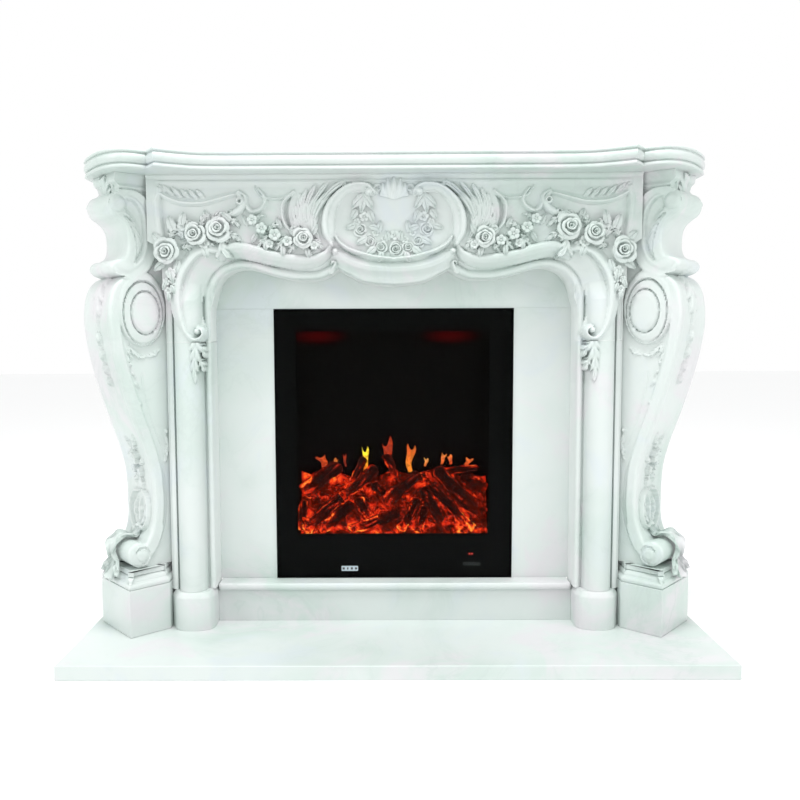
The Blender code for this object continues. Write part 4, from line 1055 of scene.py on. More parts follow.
def buildPlinth(side, word):
    low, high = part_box("right_plinth")
    innerX = low[0]
    far = plinthCorner - innerWay * consoleFrame["plinthWidth"]
    nearBack = plinthCorner - frontWay * ((plinthCorner[0] - innerX) / frontWay[0])
    farBack = far - frontWay * ((far[1] - wall) / frontWay[1])
    edge = plinthLook["edge"]
    plan = roundCorners([plinthCorner, far, farBack, (innerX, wall), nearBack], [edge, edge, 0, 0, edge], 3)
    block = plinthLook["block"]
    torus = plinthLook["torus"]
    tall = high[2] - low[2]
    profile = [(0.0008, 0), (0, 0.001), (0, block - 0.001), (0.001, block), (0.0042, block)]
    profile += [(0.0045 - 0.004 * math.sin(a), block + torus - torus * math.cos(a))
                for a in np.linspace(0.15, math.pi - 0.15, 9)]
    profile += [(0.0062, block + 0.0148)]
    profile += [(0.008 + plinthLook["coveOut"] * (1 - math.cos(a)),
                 block + 0.016 + plinthLook["coveTall"] * math.sin(a))
                for a in np.linspace(0.05, math.pi / 2, 8)]
    profile += [(0.0145, block + 0.0305), (0.013, block + 0.0315), (0.013, tall - 0.001), (0.014, tall)]
    points, faces = mirrorFaces(*mouldedBlock(plan, profile, low[2]), side)
    makePiece(word + "Plinth", points, faces, marble, "marble", [word + "_plinth"], 30)


for side, word in ((-1, "left"), (1, "right")):
    buildJamb(side, word)
    buildJambBase(side, word)
    buildPlinth(side, word)


print("mantel: shelf and sill")
shelfLook = {"field": 0.170, "overhang": 0.065, "earOut": 0.194, "flareIn": 0.014, "notchOut": 0.011,
             "sweep": 0.160}


def shelfPlan():
    look = shelfLook
    front = wall - look["field"] - look["overhang"]
    flare = columnOuter - look["flareIn"]
    notch = columnOuter + look["notchOut"]
    ear = look["earOut"] - look["notchOut"]
    sweep = look["sweep"]
    centre = [(0, front), (0.2, front), (flare - sweep, front)]
    centre += list(smoothLine([(flare - 0.8 * sweep, front - 0.001), (flare - 0.53 * sweep, front - 0.006),
                               (flare - 0.22 * sweep, front - 0.026), (flare, front - 0.046)], 6))
    lobe = smoothLine([(notch, front - 0.014), (notch + 0.13 * ear, front - 0.030),
                       (notch + 0.27 * ear, front - 0.037), (notch + 0.44 * ear, front - 0.028),
                       (notch + 0.62 * ear, front - 0.002), (notch + 0.78 * ear, front + 0.034),
                       (notch + 0.91 * ear, front + 0.070), (notch + ear, front + 0.105)], 6)
    right = centre + list(lobe) + [(notch + ear, wall)]
    left = [(-x, y) for x, y in reversed(right) if x > 0]
    return np.array(left + right, float)


# Shelf edge from its underside up: (set back, height) in metres, without the top
shelfProfile = [
    (0.0060, 0), (0.0035, 0.0006), (0.0020, 0.0022), (0.0017, 0.0042), (0.0024, 0.0064), (0.0048, 0.0084),
    (0.0078, 0.0090), (0.0086, 0.0100), (0.0082, 0.0112), (0.0060, 0.0120), (0.0036, 0.0132),
    (0.0016, 0.0156), (0.0004, 0.0192), (0.0000, 0.0232), (0.0004, 0.0268), (0.0018, 0.0300),
    (0.0042, 0.0328), (0.0050, 0.0344), (0.0026, 0.0352), (0.0010, 0.0362), (0.0004, 0.0380),
    (0.0008, 0.0402),
]


def buildShelf():
    low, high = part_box("mantel_shelf")
    profile = shelfProfile + [(0.0022, high[2] - low[2])]
    points, faces = mouldedBlock(shelfPlan(), profile, low[2])
    makePiece("mantelShelf", points, faces, marble, "marble", ["mantel_shelf"], 30)


def buildSill():
    low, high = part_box("sill")
    plan = roundCorners([(low[0], wall), (low[0], low[1]), (high[0], low[1]), (high[0], wall)],
                        [0, 0.010, 0.010, 0], 6)
    radius = (high[2] - low[2]) / 2
    profile = [(radius * (1 - math.sin(a)), radius - radius * math.cos(a))
               for a in np.linspace(0.05, math.pi - 0.05, 14)]
    profile = [(0.55 * inset if height > radius else inset * 0.7, height) for inset, height in profile]
    points, faces = mouldedBlock(plan, profile, low[2])
    makePiece("hearthSill", points, faces, marble, "marble", ["sill"], 30)


buildShelf()
buildSill()
for name in ("hearth_slab", "riser", "header_slip", "left_slip", "right_slip"):
    nodes[name].data.materials.clear()
    nodes[name].data.materials.append(marble)


print("mantel: consoles")
consoleLook = {
    "capitalHeights": (899, 901, 904, 908, 911, 913, 918, 926, 933, 937),
    "capitalDepths": (0.0, 0.6, 3.6, 3.6, 2.2, 0.8, 1.6, 4.6, 7.2, 7.6),
    "grid": 2.6, "halfWidth": 65.0, "relief": 14.0, "rows": 40,
    # each: height, how far the outer side stands out there
    "outerExtra": ((25, 10.0), (140, 37.5), (693, 37.5), (704, 9.0)),
    "outline": [
        [(-4, 936.6), (-4, 919)],
        [(-5, 917), (-13, 910), (-15, 900), (-11, 893), (0, 889), (9, 880), (14, 866), (11, 850), (3, 839),
         (-8, 833)],
        [(-10, 831), (-21, 822), (-29, 808), (-32, 790), (-32, 768), (-27, 750), (-18, 741), (-6, 737)],
        [(-1, 736), (7, 731), (12, 722), (10, 712), (0, 705), (-15, 701)],
        [(-23, 700), (-10, 691), (2, 678), (11, 658), (16, 634), (18.5, 606), (17.5, 576),
         (12, 537), (4, 496), (-8, 452), (-24, 399), (-40, 350), (-57, 303), (-69, 262), (-77, 226),
         (-80, 190), (-81, 150), (-78, 112), (-70, 82), (-60, 63)],
        [(-57, 57), (-49, 60), (-36, 63), (-24, 59), (-13, 49), (-9.5, 36), (-13, 21), (-24, 9), (-38, 2.5),
         (-54, 0.6)],
        [(-62, 0), (-205, 0), (-205, 936.6)],
    ],
}


def consoleOutline():
    rows = []
    for part in consoleLook["outline"]:
        rows.append(smoothLine(part, 4)[:-1] if len(part) > 3 else np.array(part[:-1], float))
        if len(part) <= 3:
            rows.append(np.array(part[-1:], float))
    return np.vstack(rows)


def consoleRelief(points, outline):
    look = consoleLook
    front = outline[:-3]
    gap = nearLine(points, front)[0]
    d, z = points[:, 0], points[:, 1]
    depth = np.interp(gap, [0, 1.5, 4, 8, 17, 21, 24, 27, 34, 44],
                      [3.5, 6.5, 8.6, 9, 8.2, 8.6, 7.8, 3, 0.8, 0])
    depth = depth * np.clip((z - 2) / 6, 0, 1)
    depth = np.where((z > 900) | ((z < 45) & (d < -60)), 0, depth)
    depth = np.where(z > 899, np.interp(z, look["capitalHeights"], look["capitalDepths"]), depth)
    carve = Relief(points, depth)

    # Upper scroll: its band, the crescent of ribs inside it and the eye
    carve.strip([(-10, 886), (-30, 890), (-54, 886), (-74, 868), (-87, 838), (-90, 800), (-86, 764),
                 (-74, 735), (-54, 716), (-30, 706), (-8, 708)],
                 [20, 26, 32, 36, 38, 38, 38, 38, 38, 34, 26], 0,
                [9, 10, 10, 10, 10, 10, 11, 12, 13, 13, 9],
                [(-1, 0.2), (-0.86, 0.85), (-0.66, 1), (-0.3, 0.86), (0.25, 0.80), (0.55, 0.96),
                 (0.8, 0.85), (1, 0)])
    carve.strip([(-26, 838), (-44, 820), (-56, 796), (-60, 768), (-52, 742)], [6, 14, 18, 16, 6], 3.0,
                -2.0, softTop, "sink")
    carve.leaf([(-24, 839), (-43, 818), (-54, 792), (-56, 765), (-44, 738)], [7, 16, 20, 17, 6], 2,
               [4, 5, 5, 5, 3], 5, 0.2, 0.75, "raise", 1.6)
    carve.dome((-9, 865), (23, 23), 0, 13,
               ((0, 1), (0.62, 0.94), (0.78, 0.80), (0.86, 0.45), (0.9, 0.45), (1, 0.62)))
    carve.dome((-9, 865), (19, 19), 0, 13.5, ((0, 1), (0.6, 0.97), (0.85, 0.82), (1, 0.5)))
    carve.dome((-26, 722), (34, 21), 2, 10.5, ((0, 1), (0.4, 0.96), (0.75, 0.7), (1, 0)), 14)
    for line in ([(-98, 905), (-94, 880), (-99, 850)], [(-108, 900), (-106, 870), (-111, 846)]):
        carve.leaf(line, [8, 14, 5], 0, [4, 6, 3], 3, 0.4, 0.3)

    # Oval volute with its rings
    carve.dome((-62, 625), (62, 91), 0, 13,
               ((0, 0.9), (0.6, 0.9), (0.74, 1), (0.88, 0.94), (0.96, 0.66), (1, 0.0)))
    carve.dome((-63, 615), (52, 77), 0, 11, ((0, 1), (0.93, 1), (0.965, 0.1), (1, 1)), how="sink")
    carve.dome((-63.5, 613), (49.5, 74), 0, 13.4, ((0, 1), (0.55, 1), (0.75, 1), (0.9, 0.85), (1, 0.45)))
    carve.dome((-68, 615), (39, 54), 0, 10.4, ((0, 1), (0.9, 1), (0.95, 0.1), (1, 1.35)), how="sink")
    carve.dome((-68.5, 615), (36.5, 51), 0, 14, ((0, 1), (0.7, 0.99), (0.88, 0.9), (1, 0.55)))

    # Leaves and small scrolls on the panel
    for line, width, rise in (([(-32, 532), (-44, 518), (-58, 510), (-72, 512)], [8, 13, 12, 5],
                               [4, 7, 7, 4]),
                              ([(-30, 540), (-28, 520), (-38, 508)], [6, 12, 6], [4, 7, 5]),
                              ([(-76, 512), (-92, 516), (-108, 528)], [8, 13, 5], [4, 6, 3]),
                              ([(-25, 512), (-24, 490), (-30, 470)], [8, 13, 7], [5, 8, 5]),
                              ([(-24, 480), (-36, 472), (-44, 460)], [6, 10, 5], [4, 7, 4]),
                              ([(-27, 470), (-24, 448), (-32, 424), (-46, 408)], [8, 12, 12, 6],
                               [5, 8, 8, 5]),
                              ([(-32, 450), (-44, 446), (-52, 436)], [5, 10, 5], [4, 6, 3]),
                              ([(-118, 318), (-122, 296), (-119, 272), (-114, 250)], [5, 11, 11, 4],
                               [3, 6, 6, 3])):
        carve.leaf(line, width, 0, rise, 3, 0.45, 0.35)
    carve.dome((-30, 494), (5, 5), 0, 9)
    carve.dome((-35, 446), (5, 5), 0, 8)
    carve.dome((-49, 398), (8, 8), 0, 9)
    carve.dome((-118, 326), (6, 6), 0, 7)
    carve.strip([(-60, 470), (-62, 440), (-76, 380), (-96, 318), (-108, 290)], 5, 0, -1.6, softTop, "add")
    carve.strip([(-96, 262), (-108, 236), (-116, 200), (-118, 150), (-112, 100), (-98, 60)], 5, 0, -1.2,
                softTop, "add")

    # Foot volute
    carve.strip([(-92, 92), (-80, 58), (-64, 34), (-46, 18)], [26, 26, 24, 14], 0, 9, bandTop)
    carve.dome((-41, 31), (30, 30), 0, 11.5, ((0, 1), (0.55, 0.98), (0.8, 0.9), (0.94, 0.6), (1, 0.1)))
    carve.strip([(-43, 9), (-56, 14), (-62, 30), (-56, 46), (-42, 50), (-30, 42)],
                [5, 6, 6, 6, 6, 4], 7.5, 0.0, softTop, "sink")
    carve.dome((-43, 30), (14.5, 14.5), 0, 13.8, ((0, 1), (0.7, 0.97), (0.9, 0.8), (1, 0.5)))
    return np.clip(carve.depth, -3, look["relief"])


# Ornament down the front: across and height in millimetres
def consoleFront(across, z, edgeShare):
    spots = np.column_stack([across, z])
    belly = np.interp(z, [60, 90, 640, 690, 700], [0, 1, 1, 0.4, 0])
    bowl = -4.5 * np.cos(np.clip(edgeShare, -1, 1) * math.pi / 2) ** 0.8
    rim = np.interp(np.abs(edgeShare), [0, 0.70, 0.78, 0.86, 0.94, 1], [0, 0, 1.0, 2.2, 1.2, 0])
    carve = Relief(spots, (bowl + rim) * belly)
    base = -3.5
    carve.leaf([(0, 712), (0, 680), (0, 640), (0, 606), (0, 576)], [26, 46, 50, 34, 8], base,
               [9, 11, 11, 10, 5], 4, 0.4, 0.35)
    for top, tall in ((572, 34), (532, 32), (496, 28), (464, 24)):
        for side in (-1, 1):
            carve.leaf([(0, top), (side * 7, top - 0.5 * tall), (side * 11, top - 1.05 * tall)],
                       [6, 11, 4], base, [6, 9, 5], 2, 0.3, 0.25)
        carve.dome((0, top - 0.55 * tall), (6, 0.5 * tall), base, 11)
    carve.flower((0, 262), 21, base, 15, 5, 20)
    carve.flower((-14, 236), 15, base, 13, 5, 50)
    carve.flower((13, 226), 13, base, 12, 5, 0)
    for line in ([(0, 280), (-16, 296), (-26, 310)], [(4, 280), (16, 298), (18, 318)],
                 [(-16, 250), (-32, 254), (-40, 268)], [(14, 246), (30, 252), (38, 268)],
                 [(-8, 216), (-22, 204), (-26, 188)], [(6, 212), (16, 196), (14, 180)]):
        carve.leaf(line, [10, 16, 5], base, [7, 10, 5], 3, 0.45, 0.3)
    for side in (-1, 1):
        carve.strip([(side * 8, 176), (side * 30, 172), (side * 44, 152), (side * 46, 122), (side * 36, 96),
                     (side * 18, 84), (side * 6, 92)], [10, 13, 14, 14, 13, 11, 8], base,
                     [9, 12, 13, 13, 12, 11, 9],
                    softTop)
        carve.leaf([(side * 6, 92), (side * 22, 108), (side * 30, 132), (side * 20, 156)],
                   [10, 18, 18, 6], base, [8, 10, 10, 5], 3, 0.45, 0.35)
    carve.dome((0, 90), (9, 8), base, 14)
    carve.leaf([(0, 96), (0, 122), (0, 158)], [12, 22, 8], base, [8, 11, 7], 3, 0.4, 0.3)
    return carve.depth


def outerExtra(heights):
    marks = consoleLook["outerExtra"]
    return np.interp(heights, [height for height, _ in marks], [amount for _, amount in marks])


# From a console's own directions to the object's
def consoleSpot(side, across, d, z):
    plan = consoleCentre[None, :] + np.outer(across, innerWay) + np.outer(d, frontWay)
    return np.column_stack([side * plan[:, 0], plan[:, 1], z])


def buildConsole(side, word):
    look = consoleLook
    outline = consoleOutline()
    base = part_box("right_console")[0][2] * 1000
    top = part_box("right_console")[1][2] * 1000 - base
    outline[:, 1] *= top / outline[:, 1].max()
    ends = [p for p in outline if p[1] < 0.01 or p[1] > top - 0.01]
    points, faces = fillOutline(outline, look["grid"], ends)
    relief = consoleRelief(points, outline)
    bodyHalf = look["halfWidth"] - look["relief"]
    extra = outerExtra(points[:, 1])
    pairs = edgePairs(faces)
    edge, ends = np.unique(pairs, return_inverse=True)
    ends = ends.reshape(-1, 2)
    rim = points[edge]
    way = np.roll(outline, -2, axis=0) - np.roll(outline, 2, axis=0)
    way /= np.maximum(np.linalg.norm(way, axis=1), 1e-9)[:, None]
    way = way[((rim[:, None, :] - outline[None]) ** 2).sum(2).argmin(1)]
    outward = np.column_stack([-way[:, 1], way[:, 0]])
    isFront = (rim[:, 0] > -100) & (rim[:, 1] > 3) & (rim[:, 1] < top - 3)
    fade = np.clip(np.minimum(rim[:, 1] - 3, top - 3 - rim[:, 1]) / 6, 0, 1) * isFront
    near = np.column_stack([bodyHalf + relief, points])
    far = np.column_stack([-bodyHalf - relief - extra, points])
    rows = [near, far]
    count = len(points)
    allFaces = [tuple(f) for f in faces] + [tuple(reversed(f)) for f in faces + count]
    shares = np.linspace(1, -1, look["rows"])[1:-1]
    strips = [edge]
    start = 2 * count
    half = bodyHalf + relief[edge] + extra[edge] / 2
    for share in shares:
        lift = consoleFront(share * half, rim[:, 1], np.full(len(rim), share)) * fade
        place = rim + outward * lift[:, None]
        rows.append(np.column_stack([share * half - extra[edge] / 2, place]))
        strips.append(np.arange(start, start + len(edge)))
        start += len(edge)
    strips.append(edge + count)
    for upper, lower in zip(strips, strips[1:]):
        quads = np.column_stack([upper[ends[:, 0]], lower[ends[:, 0]], lower[ends[:, 1]],
                                 upper[ends[:, 1]]])
        allFaces += [tuple(f) for f in quads.tolist()]
    local = np.vstack(rows)
    world = consoleSpot(side, local[:, 0] / 1000, local[:, 1] / 1000, (local[:, 2] + base) / 1000)
    if side < 0:
        allFaces = [tuple(reversed(f)) for f in allFaces]
    shape = bmesh.new()
    verts = [shape.verts.new(p) for p in world]
    for face in allFaces:
        shape.faces.new([verts[i] for i in face])
    bmesh.ops.recalc_face_normals(shape, faces=shape.faces[:])
    for place, normal in (((side * (columnOuter + jointGap), 0, 0), (-side, 0, 0)),
                          ((0, wall, 0), (0, 1, 0))):
        geometry = shape.verts[:] + shape.edges[:] + shape.faces[:]
        cut = bmesh.ops.bisect_plane(shape, geom=geometry, dist=1e-6, plane_co=place, plane_no=normal,
                                     clear_outer=True)
        edges = [item for item in cut["geom_cut"] if isinstance(item, bmesh.types.BMEdge)]
        bmesh.ops.holes_fill(shape, edges=edges, sides=0)
    mesh = bpy.data.meshes.new(word + "ConsoleScroll")
    shape.to_mesh(mesh)
    shape.free()
    mesh.materials.append(carvedMarblePaintedLight)
    mesh.shade_smooth()
    mesh.set_sharp_from_angle(angle=math.radians(45))
    piece = bpy.data.objects.new(word + "ConsoleScroll", mesh)
    scene.collection.objects.link(piece)
    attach(piece, "root")
    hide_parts(word + "_console")


# Thick lobed leaf that follows a line in space; sideWay is the direction of its width
def leafSheet(line, width, sideWay, crown, lobes, notch, thick, steps=34, columns=15, droop=0.0):
    spine = evenLine(smoothLine(line, 8), 0.0005)
    spine = spine[np.linspace(0, len(spine) - 1, steps).astype(int)]
    share = np.linspace(0, 1, steps)
    wide = np.interp(share, np.linspace(0, 1, len(width)), width) / 2
    way = np.gradient(spine, axis=0)
    way /= np.linalg.norm(way, axis=1)[:, None]
    sideWay = np.array(sideWay, float)
    normal = np.cross(way, sideWay[None])
    normal /= np.linalg.norm(normal, axis=1)[:, None]
    points = []
    for row in range(steps):
        for column in range(columns):
            u = 2 * column / (columns - 1) - 1
            wave = 0.5 - 0.5 * math.cos(2 * math.pi * (lobes * share[row] - 0.9 * abs(u)))
            reach = wide[row] * (1 - notch * wave * abs(u) ** 1.5)
            lift = crown * (1 - u * u) - 0.28 * crown * wave * abs(u)
            lift -= 0.35 * crown * math.exp(-(u / 0.14) ** 2)
            lift -= droop * u * u
            shift = way[row] * (wide[row] * 0.35 * abs(u) ** 1.5)
            points.append(spine[row] + sideWay * reach * u + normal[row] * lift + shift)
    upper = np.array(points)
    lower = upper - np.repeat(normal, columns, axis=0) * thick
    return closeSheet(upper, lower, steps, columns)


consoleLeaves = {
    # each: spine as (across, forward, height) in millimetres, width, crown, lobes, notch
    "foot": ([(0, -74, 88), (0, -58, 70), (0, -30, 74), (0, -4, 60), (0, 2, 38), (0, -4, 16), (0, 2, -6),
              (0, 12, -26)], [44, 60, 62, 56, 44, 46, 70, 30], 7, 4, 0.45),
    "footCurlLeft": ([(-14, -4, 20), (-26, 2, 4), (-38, 8, -14)], [14, 26, 8], 4, 2, 0.4),
    "footCurlRight": ([(14, -4, 20), (26, 2, 4), (38, 8, -14)], [14, 26, 8], 4, 2, 0.4),
    "capital": ([(0, -18, 880), (0, -10, 896), (0, -6, 914), (0, 2, 928)], [30, 46, 52, 26], 5, 3, 0.45),
    "capitalLeft": ([(-16, -20, 884), (-26, -14, 902), (-36, -8, 920)], [14, 24, 8], 3, 2, 0.4),
    "capitalRight": ([(16, -20, 884), (26, -14, 902), (36, -8, 920)], [14, 24, 8], 3, 2, 0.4),
}


def buildConsoleLeaves(side, word):
    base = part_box("right_console")[0][2]
    points, faces, count = [], [], 0
    for line, width, crown, lobes, notch in consoleLeaves.values():
        spots = np.array(line, float) / 1000
        local, members = leafSheet(spots, [w / 1000 for w in width], (1, 0, 0), crown / 1000, lobes,
                                   notch, 0.004, droop=0.003)
        middle = outerExtra(local[:, 2] * 1000) / 2000
        world = consoleSpot(side, local[:, 0] - middle, local[:, 1], local[:, 2] + base)
        points.append(world)
        faces += [tuple(i + count for i in f) for f in members]
        count += len(world)
    makePiece(word + "ConsoleLeaves", np.vstack(points), faces, carvedMarblePaintedLight, "marble",
              [word + "_console"], 60)


for side, word in ((-1, "left"), (1, "right")):
    buildConsole(side, word)
    buildConsoleLeaves(side, word)


print("mantel: electric fire")
fireLook = {
    "pixelX": (295.0, -0.245, 0.002487), "pixelZ": (533.0, 0.2449, 0.002542),
    "emberStrength": 1.35,
    "emberColours": [(0.0, (0.004, 0.0, 0.0)), (0.20, (0.07, 0.002, 0.0)), (0.45, (0.66, 0.018, 0.004)),
                     (0.72, (0.95, 0.088, 0.010)), (1.0, (1.0, 0.42, 0.05))],
    "charColours": ((0.003, 0.001, 0.0007), (0.012, 0.004, 0.0025)),
    "caseHalf": 0.2975, "windowFoot": 0.246,
    "flameStrength": 1.6,
    "hotSpots": ((306, 0.8), (352, 0.5), (374, 0.35), (419, 0.7), (462, 0.6)),
    "logs": [
        # each: two ends in the photograph's pixels, radius in millimetres, how far back, glow
        ((296, 496), (338, 466), 19, 0.90, 0.5), ((300, 533), (339, 497), 15, 0.15, 1.0),
        ((338, 500), (376, 469), 14, 0.55, 0.6), ((316, 536), (352, 505), 13, 0.05, 0.8),
        ((297, 534), (299, 502), 12, 0.30, 0.9), ((356, 499), (368, 519), 13, 0.20, 0.8),
        ((346, 531), (400, 515), 14, 0.05, 1.0), ((372, 484), (392, 506), 12, 0.60, 0.7),
        ((384, 507), (420, 474), 17, 0.45, 0.35), ((400, 533), (419, 500), 13, 0.12, 0.9),
        ((415, 536), (427, 508), 11, 0.05, 1.0), ((424, 488), (444, 530), 16, 0.25, 0.25),
        ((430, 485), (478, 533), 13, 0.15, 1.0), ((437, 469), (487, 520), 19, 0.50, 0.25),
        ((466, 475), (494, 494), 16, 0.80, 0.3), ((436, 476), (482, 469), 9, 0.95, 0.8),
        ((350, 486), (362, 458), 10, 0.95, 0.6), ((395, 480), (386, 455), 10, 0.95, 0.6),
    ],
    "flames": [
        # each: foot in the photograph's pixels, height, width, colour low and high
        ((363, 474), 27, 8, (0.75, 0.10, 0.006), (1.0, 0.85, 0.03)),
        ((389, 474), 36, 12, (0.30, 0.012, 0.002), (0.40, 0.030, 0.004)),
        ((412, 474), 30, 11, (0.80, 0.22, 0.012), (0.62, 0.075, 0.008)),
        ((427, 468), 9, 5, (0.7, 0.12, 0.01), (1.0, 0.45, 0.10)),
        ((319, 469), 13, 12, (0.45, 0.03, 0.003), (0.62, 0.07, 0.006)),
        ((334, 468), 9, 5, (0.7, 0.10, 0.01), (0.8, 0.22, 0.03)),
        ((445, 466), 12, 6, (0.6, 0.08, 0.008), (0.75, 0.20, 0.03)),
        ((452, 466), 10, 6, (0.6, 0.05, 0.005), (0.7, 0.15, 0.02)),
        ((343, 468), 14, 4, (0.20, 0.01, 0.001), (0.30, 0.02, 0.002)),
        ((472, 468), 9, 9, (0.5, 0.04, 0.004), (0.7, 0.14, 0.02)),
    ],
}


# Place in the fire for a pixel of the photograph; back is 0 at the glass side and 1 at the rear
def fireSpot(u, v, back):
    x = fireLook["pixelX"][1] + (u - fireLook["pixelX"][0]) * fireLook["pixelX"][2]
    z = fireLook["pixelZ"][1] + (fireLook["pixelZ"][0] - v) * fireLook["pixelZ"][2]
    low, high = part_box("firebox_case")
    return np.array([x, low[1] + 0.020 + back * 0.030, z])


# Charred wood that glows where its points are warm and along fine cracks
def makeEmber(name, grain):
    finish = Finish(name, **{"Roughness": 0.9, "Specular IOR Level": 0.1})
    heat = finish.add("ShaderNodeAttribute", {"attribute_name": "warmth"}, out=2)
    bark = finish.noise(grain, 5, 0.65, 0.8)
    crack = finish.noise(grain * 0.42, 5, 0.62, 1.6)
    line = finish.ramp(abs(crack - 0.5), 0.028, 0.0)
    glow = heat * (0.22 + 1.05 * finish.ramp(bark, 0.38, 0.62)) + line * (0.10 + heat * 0.45)
    fire = finish.add("ShaderNodeValToRGB", {"stops": fireLook["emberColours"]}, {"Fac": glow})
    char = finish.blend(bark, *fireLook["charColours"])
    finish.feed({"Base Color": char, "Emission Color": fire, "Emission Strength": fireLook["emberStrength"],
                 "Normal": finish.bump(bark + crack * 0.6, 0.9, 0.004)})
    return finish.material


charredLogs = makeEmber("charredLogs", 62)
emberAsh = makeEmber("emberAsh", 48)


def warm(piece, values):  # how hot each point is, for the material
    heat = piece.data.attributes.new("warmth", "FLOAT", "POINT")
    heat.data.foreach_set("value", np.asarray(values, "f"))


def seam(angle, centre, wide):
    return math.exp(-(math.remainder(angle - centre, 2 * math.pi) / wide) ** 2)


# A log glows along its two edges, along a split and at its lower end
def logHeat(angle, share, low, seed, glow):
    upper = seam(angle, 0.40 + 0.2 * math.sin(7 * share + seed), 0.26)
    upper *= max(0.25, math.sin(6.5 * share + 2.3 * seed))
    under = seam(angle, 2.72 + 0.2 * math.sin(9 * share - seed), 0.28)
    under *= max(0.20, math.sin(5 * share + 1.1 * seed + 2))
    split = seam(angle, 1.55 + 0.45 * math.sin(4 * share + 2 * seed), 0.16)
    split *= max(0.1, math.sin(8 * share + seed))
    end = max(0.0, 1 - low / 0.42) ** 1.2
    return min(1.0, (0.95 * upper + 0.85 * under + 0.5 * split) * (0.5 + 0.5 * glow) + 0.72 * glow * end)


# Rough round log between two points, with how hot each point is
def logTube(start, end, radius, seed, glow, rings=34, sides=28):
    start, end = np.array(start), np.array(end)
    way = (end - start) / np.linalg.norm(end - start)
    up = np.cross(way, (0, 1, 0))
    up /= np.linalg.norm(up)
    back = np.cross(way, up)
    points, heat = [], []
    for ring in range(rings + 1):
        share = ring / rings
        bulge = 1 + 0.10 * math.sin(seed + 5.3 * share) + 0.07 * math.sin(2.1 * seed + 17 * share)
        cap = min(1.0, math.sqrt(max(0.0, 1 - (2 * share - 1) ** 12)) + 0.12)
        bend = 0.16 * radius * math.sin(3.4 * share + seed)
        for k in range(sides):
            angle = 2 * math.pi * k / sides
            rough = 1 + 0.10 * math.sin(5 * angle + seed + 3 * share)
            rough += 0.07 * math.sin(9 * angle - seed + 11 * share)
            rough += 0.06 * math.sin(3 * angle + 31 * share + seed)
            size = radius * bulge * cap * rough
            points.append(start + (end - start) * share + up * (size * math.cos(angle) + bend)
                          + back * size * 0.85 * math.sin(angle))
            heat.append(logHeat(angle, share, share if start[2] < end[2] else 1 - share, seed, glow))
    points.append(start - way * 0.002)
    points.append(end + way * 0.002)
    heat += [glow * 0.7, glow * 0.5]
    faces = []
    for ring in range(rings):
        for k in range(sides):
            m = (k + 1) % sides
            low, high = ring * sides, (ring + 1) * sides
            faces.append((low + m, low + k, high + k, high + m))
    first, last = (rings + 1) * sides, (rings + 1) * sides + 1
    for k in range(sides):
        m = (k + 1) % sides
        faces.append((k, m, first))
        faces.append((rings * sides + m, rings * sides + k, last))
    return np.array(points), faces, heat


def buildLogs():
    low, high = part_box("log_bed")
    for number, (start, end, radius, back, glow) in enumerate(fireLook["logs"]):
        a, b = fireSpot(*start, back), fireSpot(*end, min(1.0, back + 0.25))
        for spot in (a, b):
            spot[2] = max(spot[2], fireLook["windowFoot"])
            spot[0] = min(max(spot[0], low[0] + 0.004), high[0] - 0.004)
        points, faces, heat = logTube(a, b, radius / 1000, 1.7 * number, glow)
        points[:, 0] = np.clip(points[:, 0], -fireLook["caseHalf"], fireLook["caseHalf"])
        piece = makePiece("fireLog%02d" % (number + 1), points, faces, charredLogs, "ember_logs",
                          ["log_bed"], 50)
        warm(piece, heat)


# Bed of embers: a lumpy bank that rises from the window's edge to the back, in metres
bankLook = {"columns": 150, "rows": 46, "front": 0.1420, "least": 0.1345, "back": 0.1880, "deep": 0.044,
            "foot": 0.2380, "climb": 0.150, "underside": 0.1400,
            # each: size, waves across, waves up, start
            "lumps": [(0.0035, 71, 9, 0), (0.003, 133, -17, 1), (0.0025, 211, 29, 2), (0.002, 377, 43, 0)]}


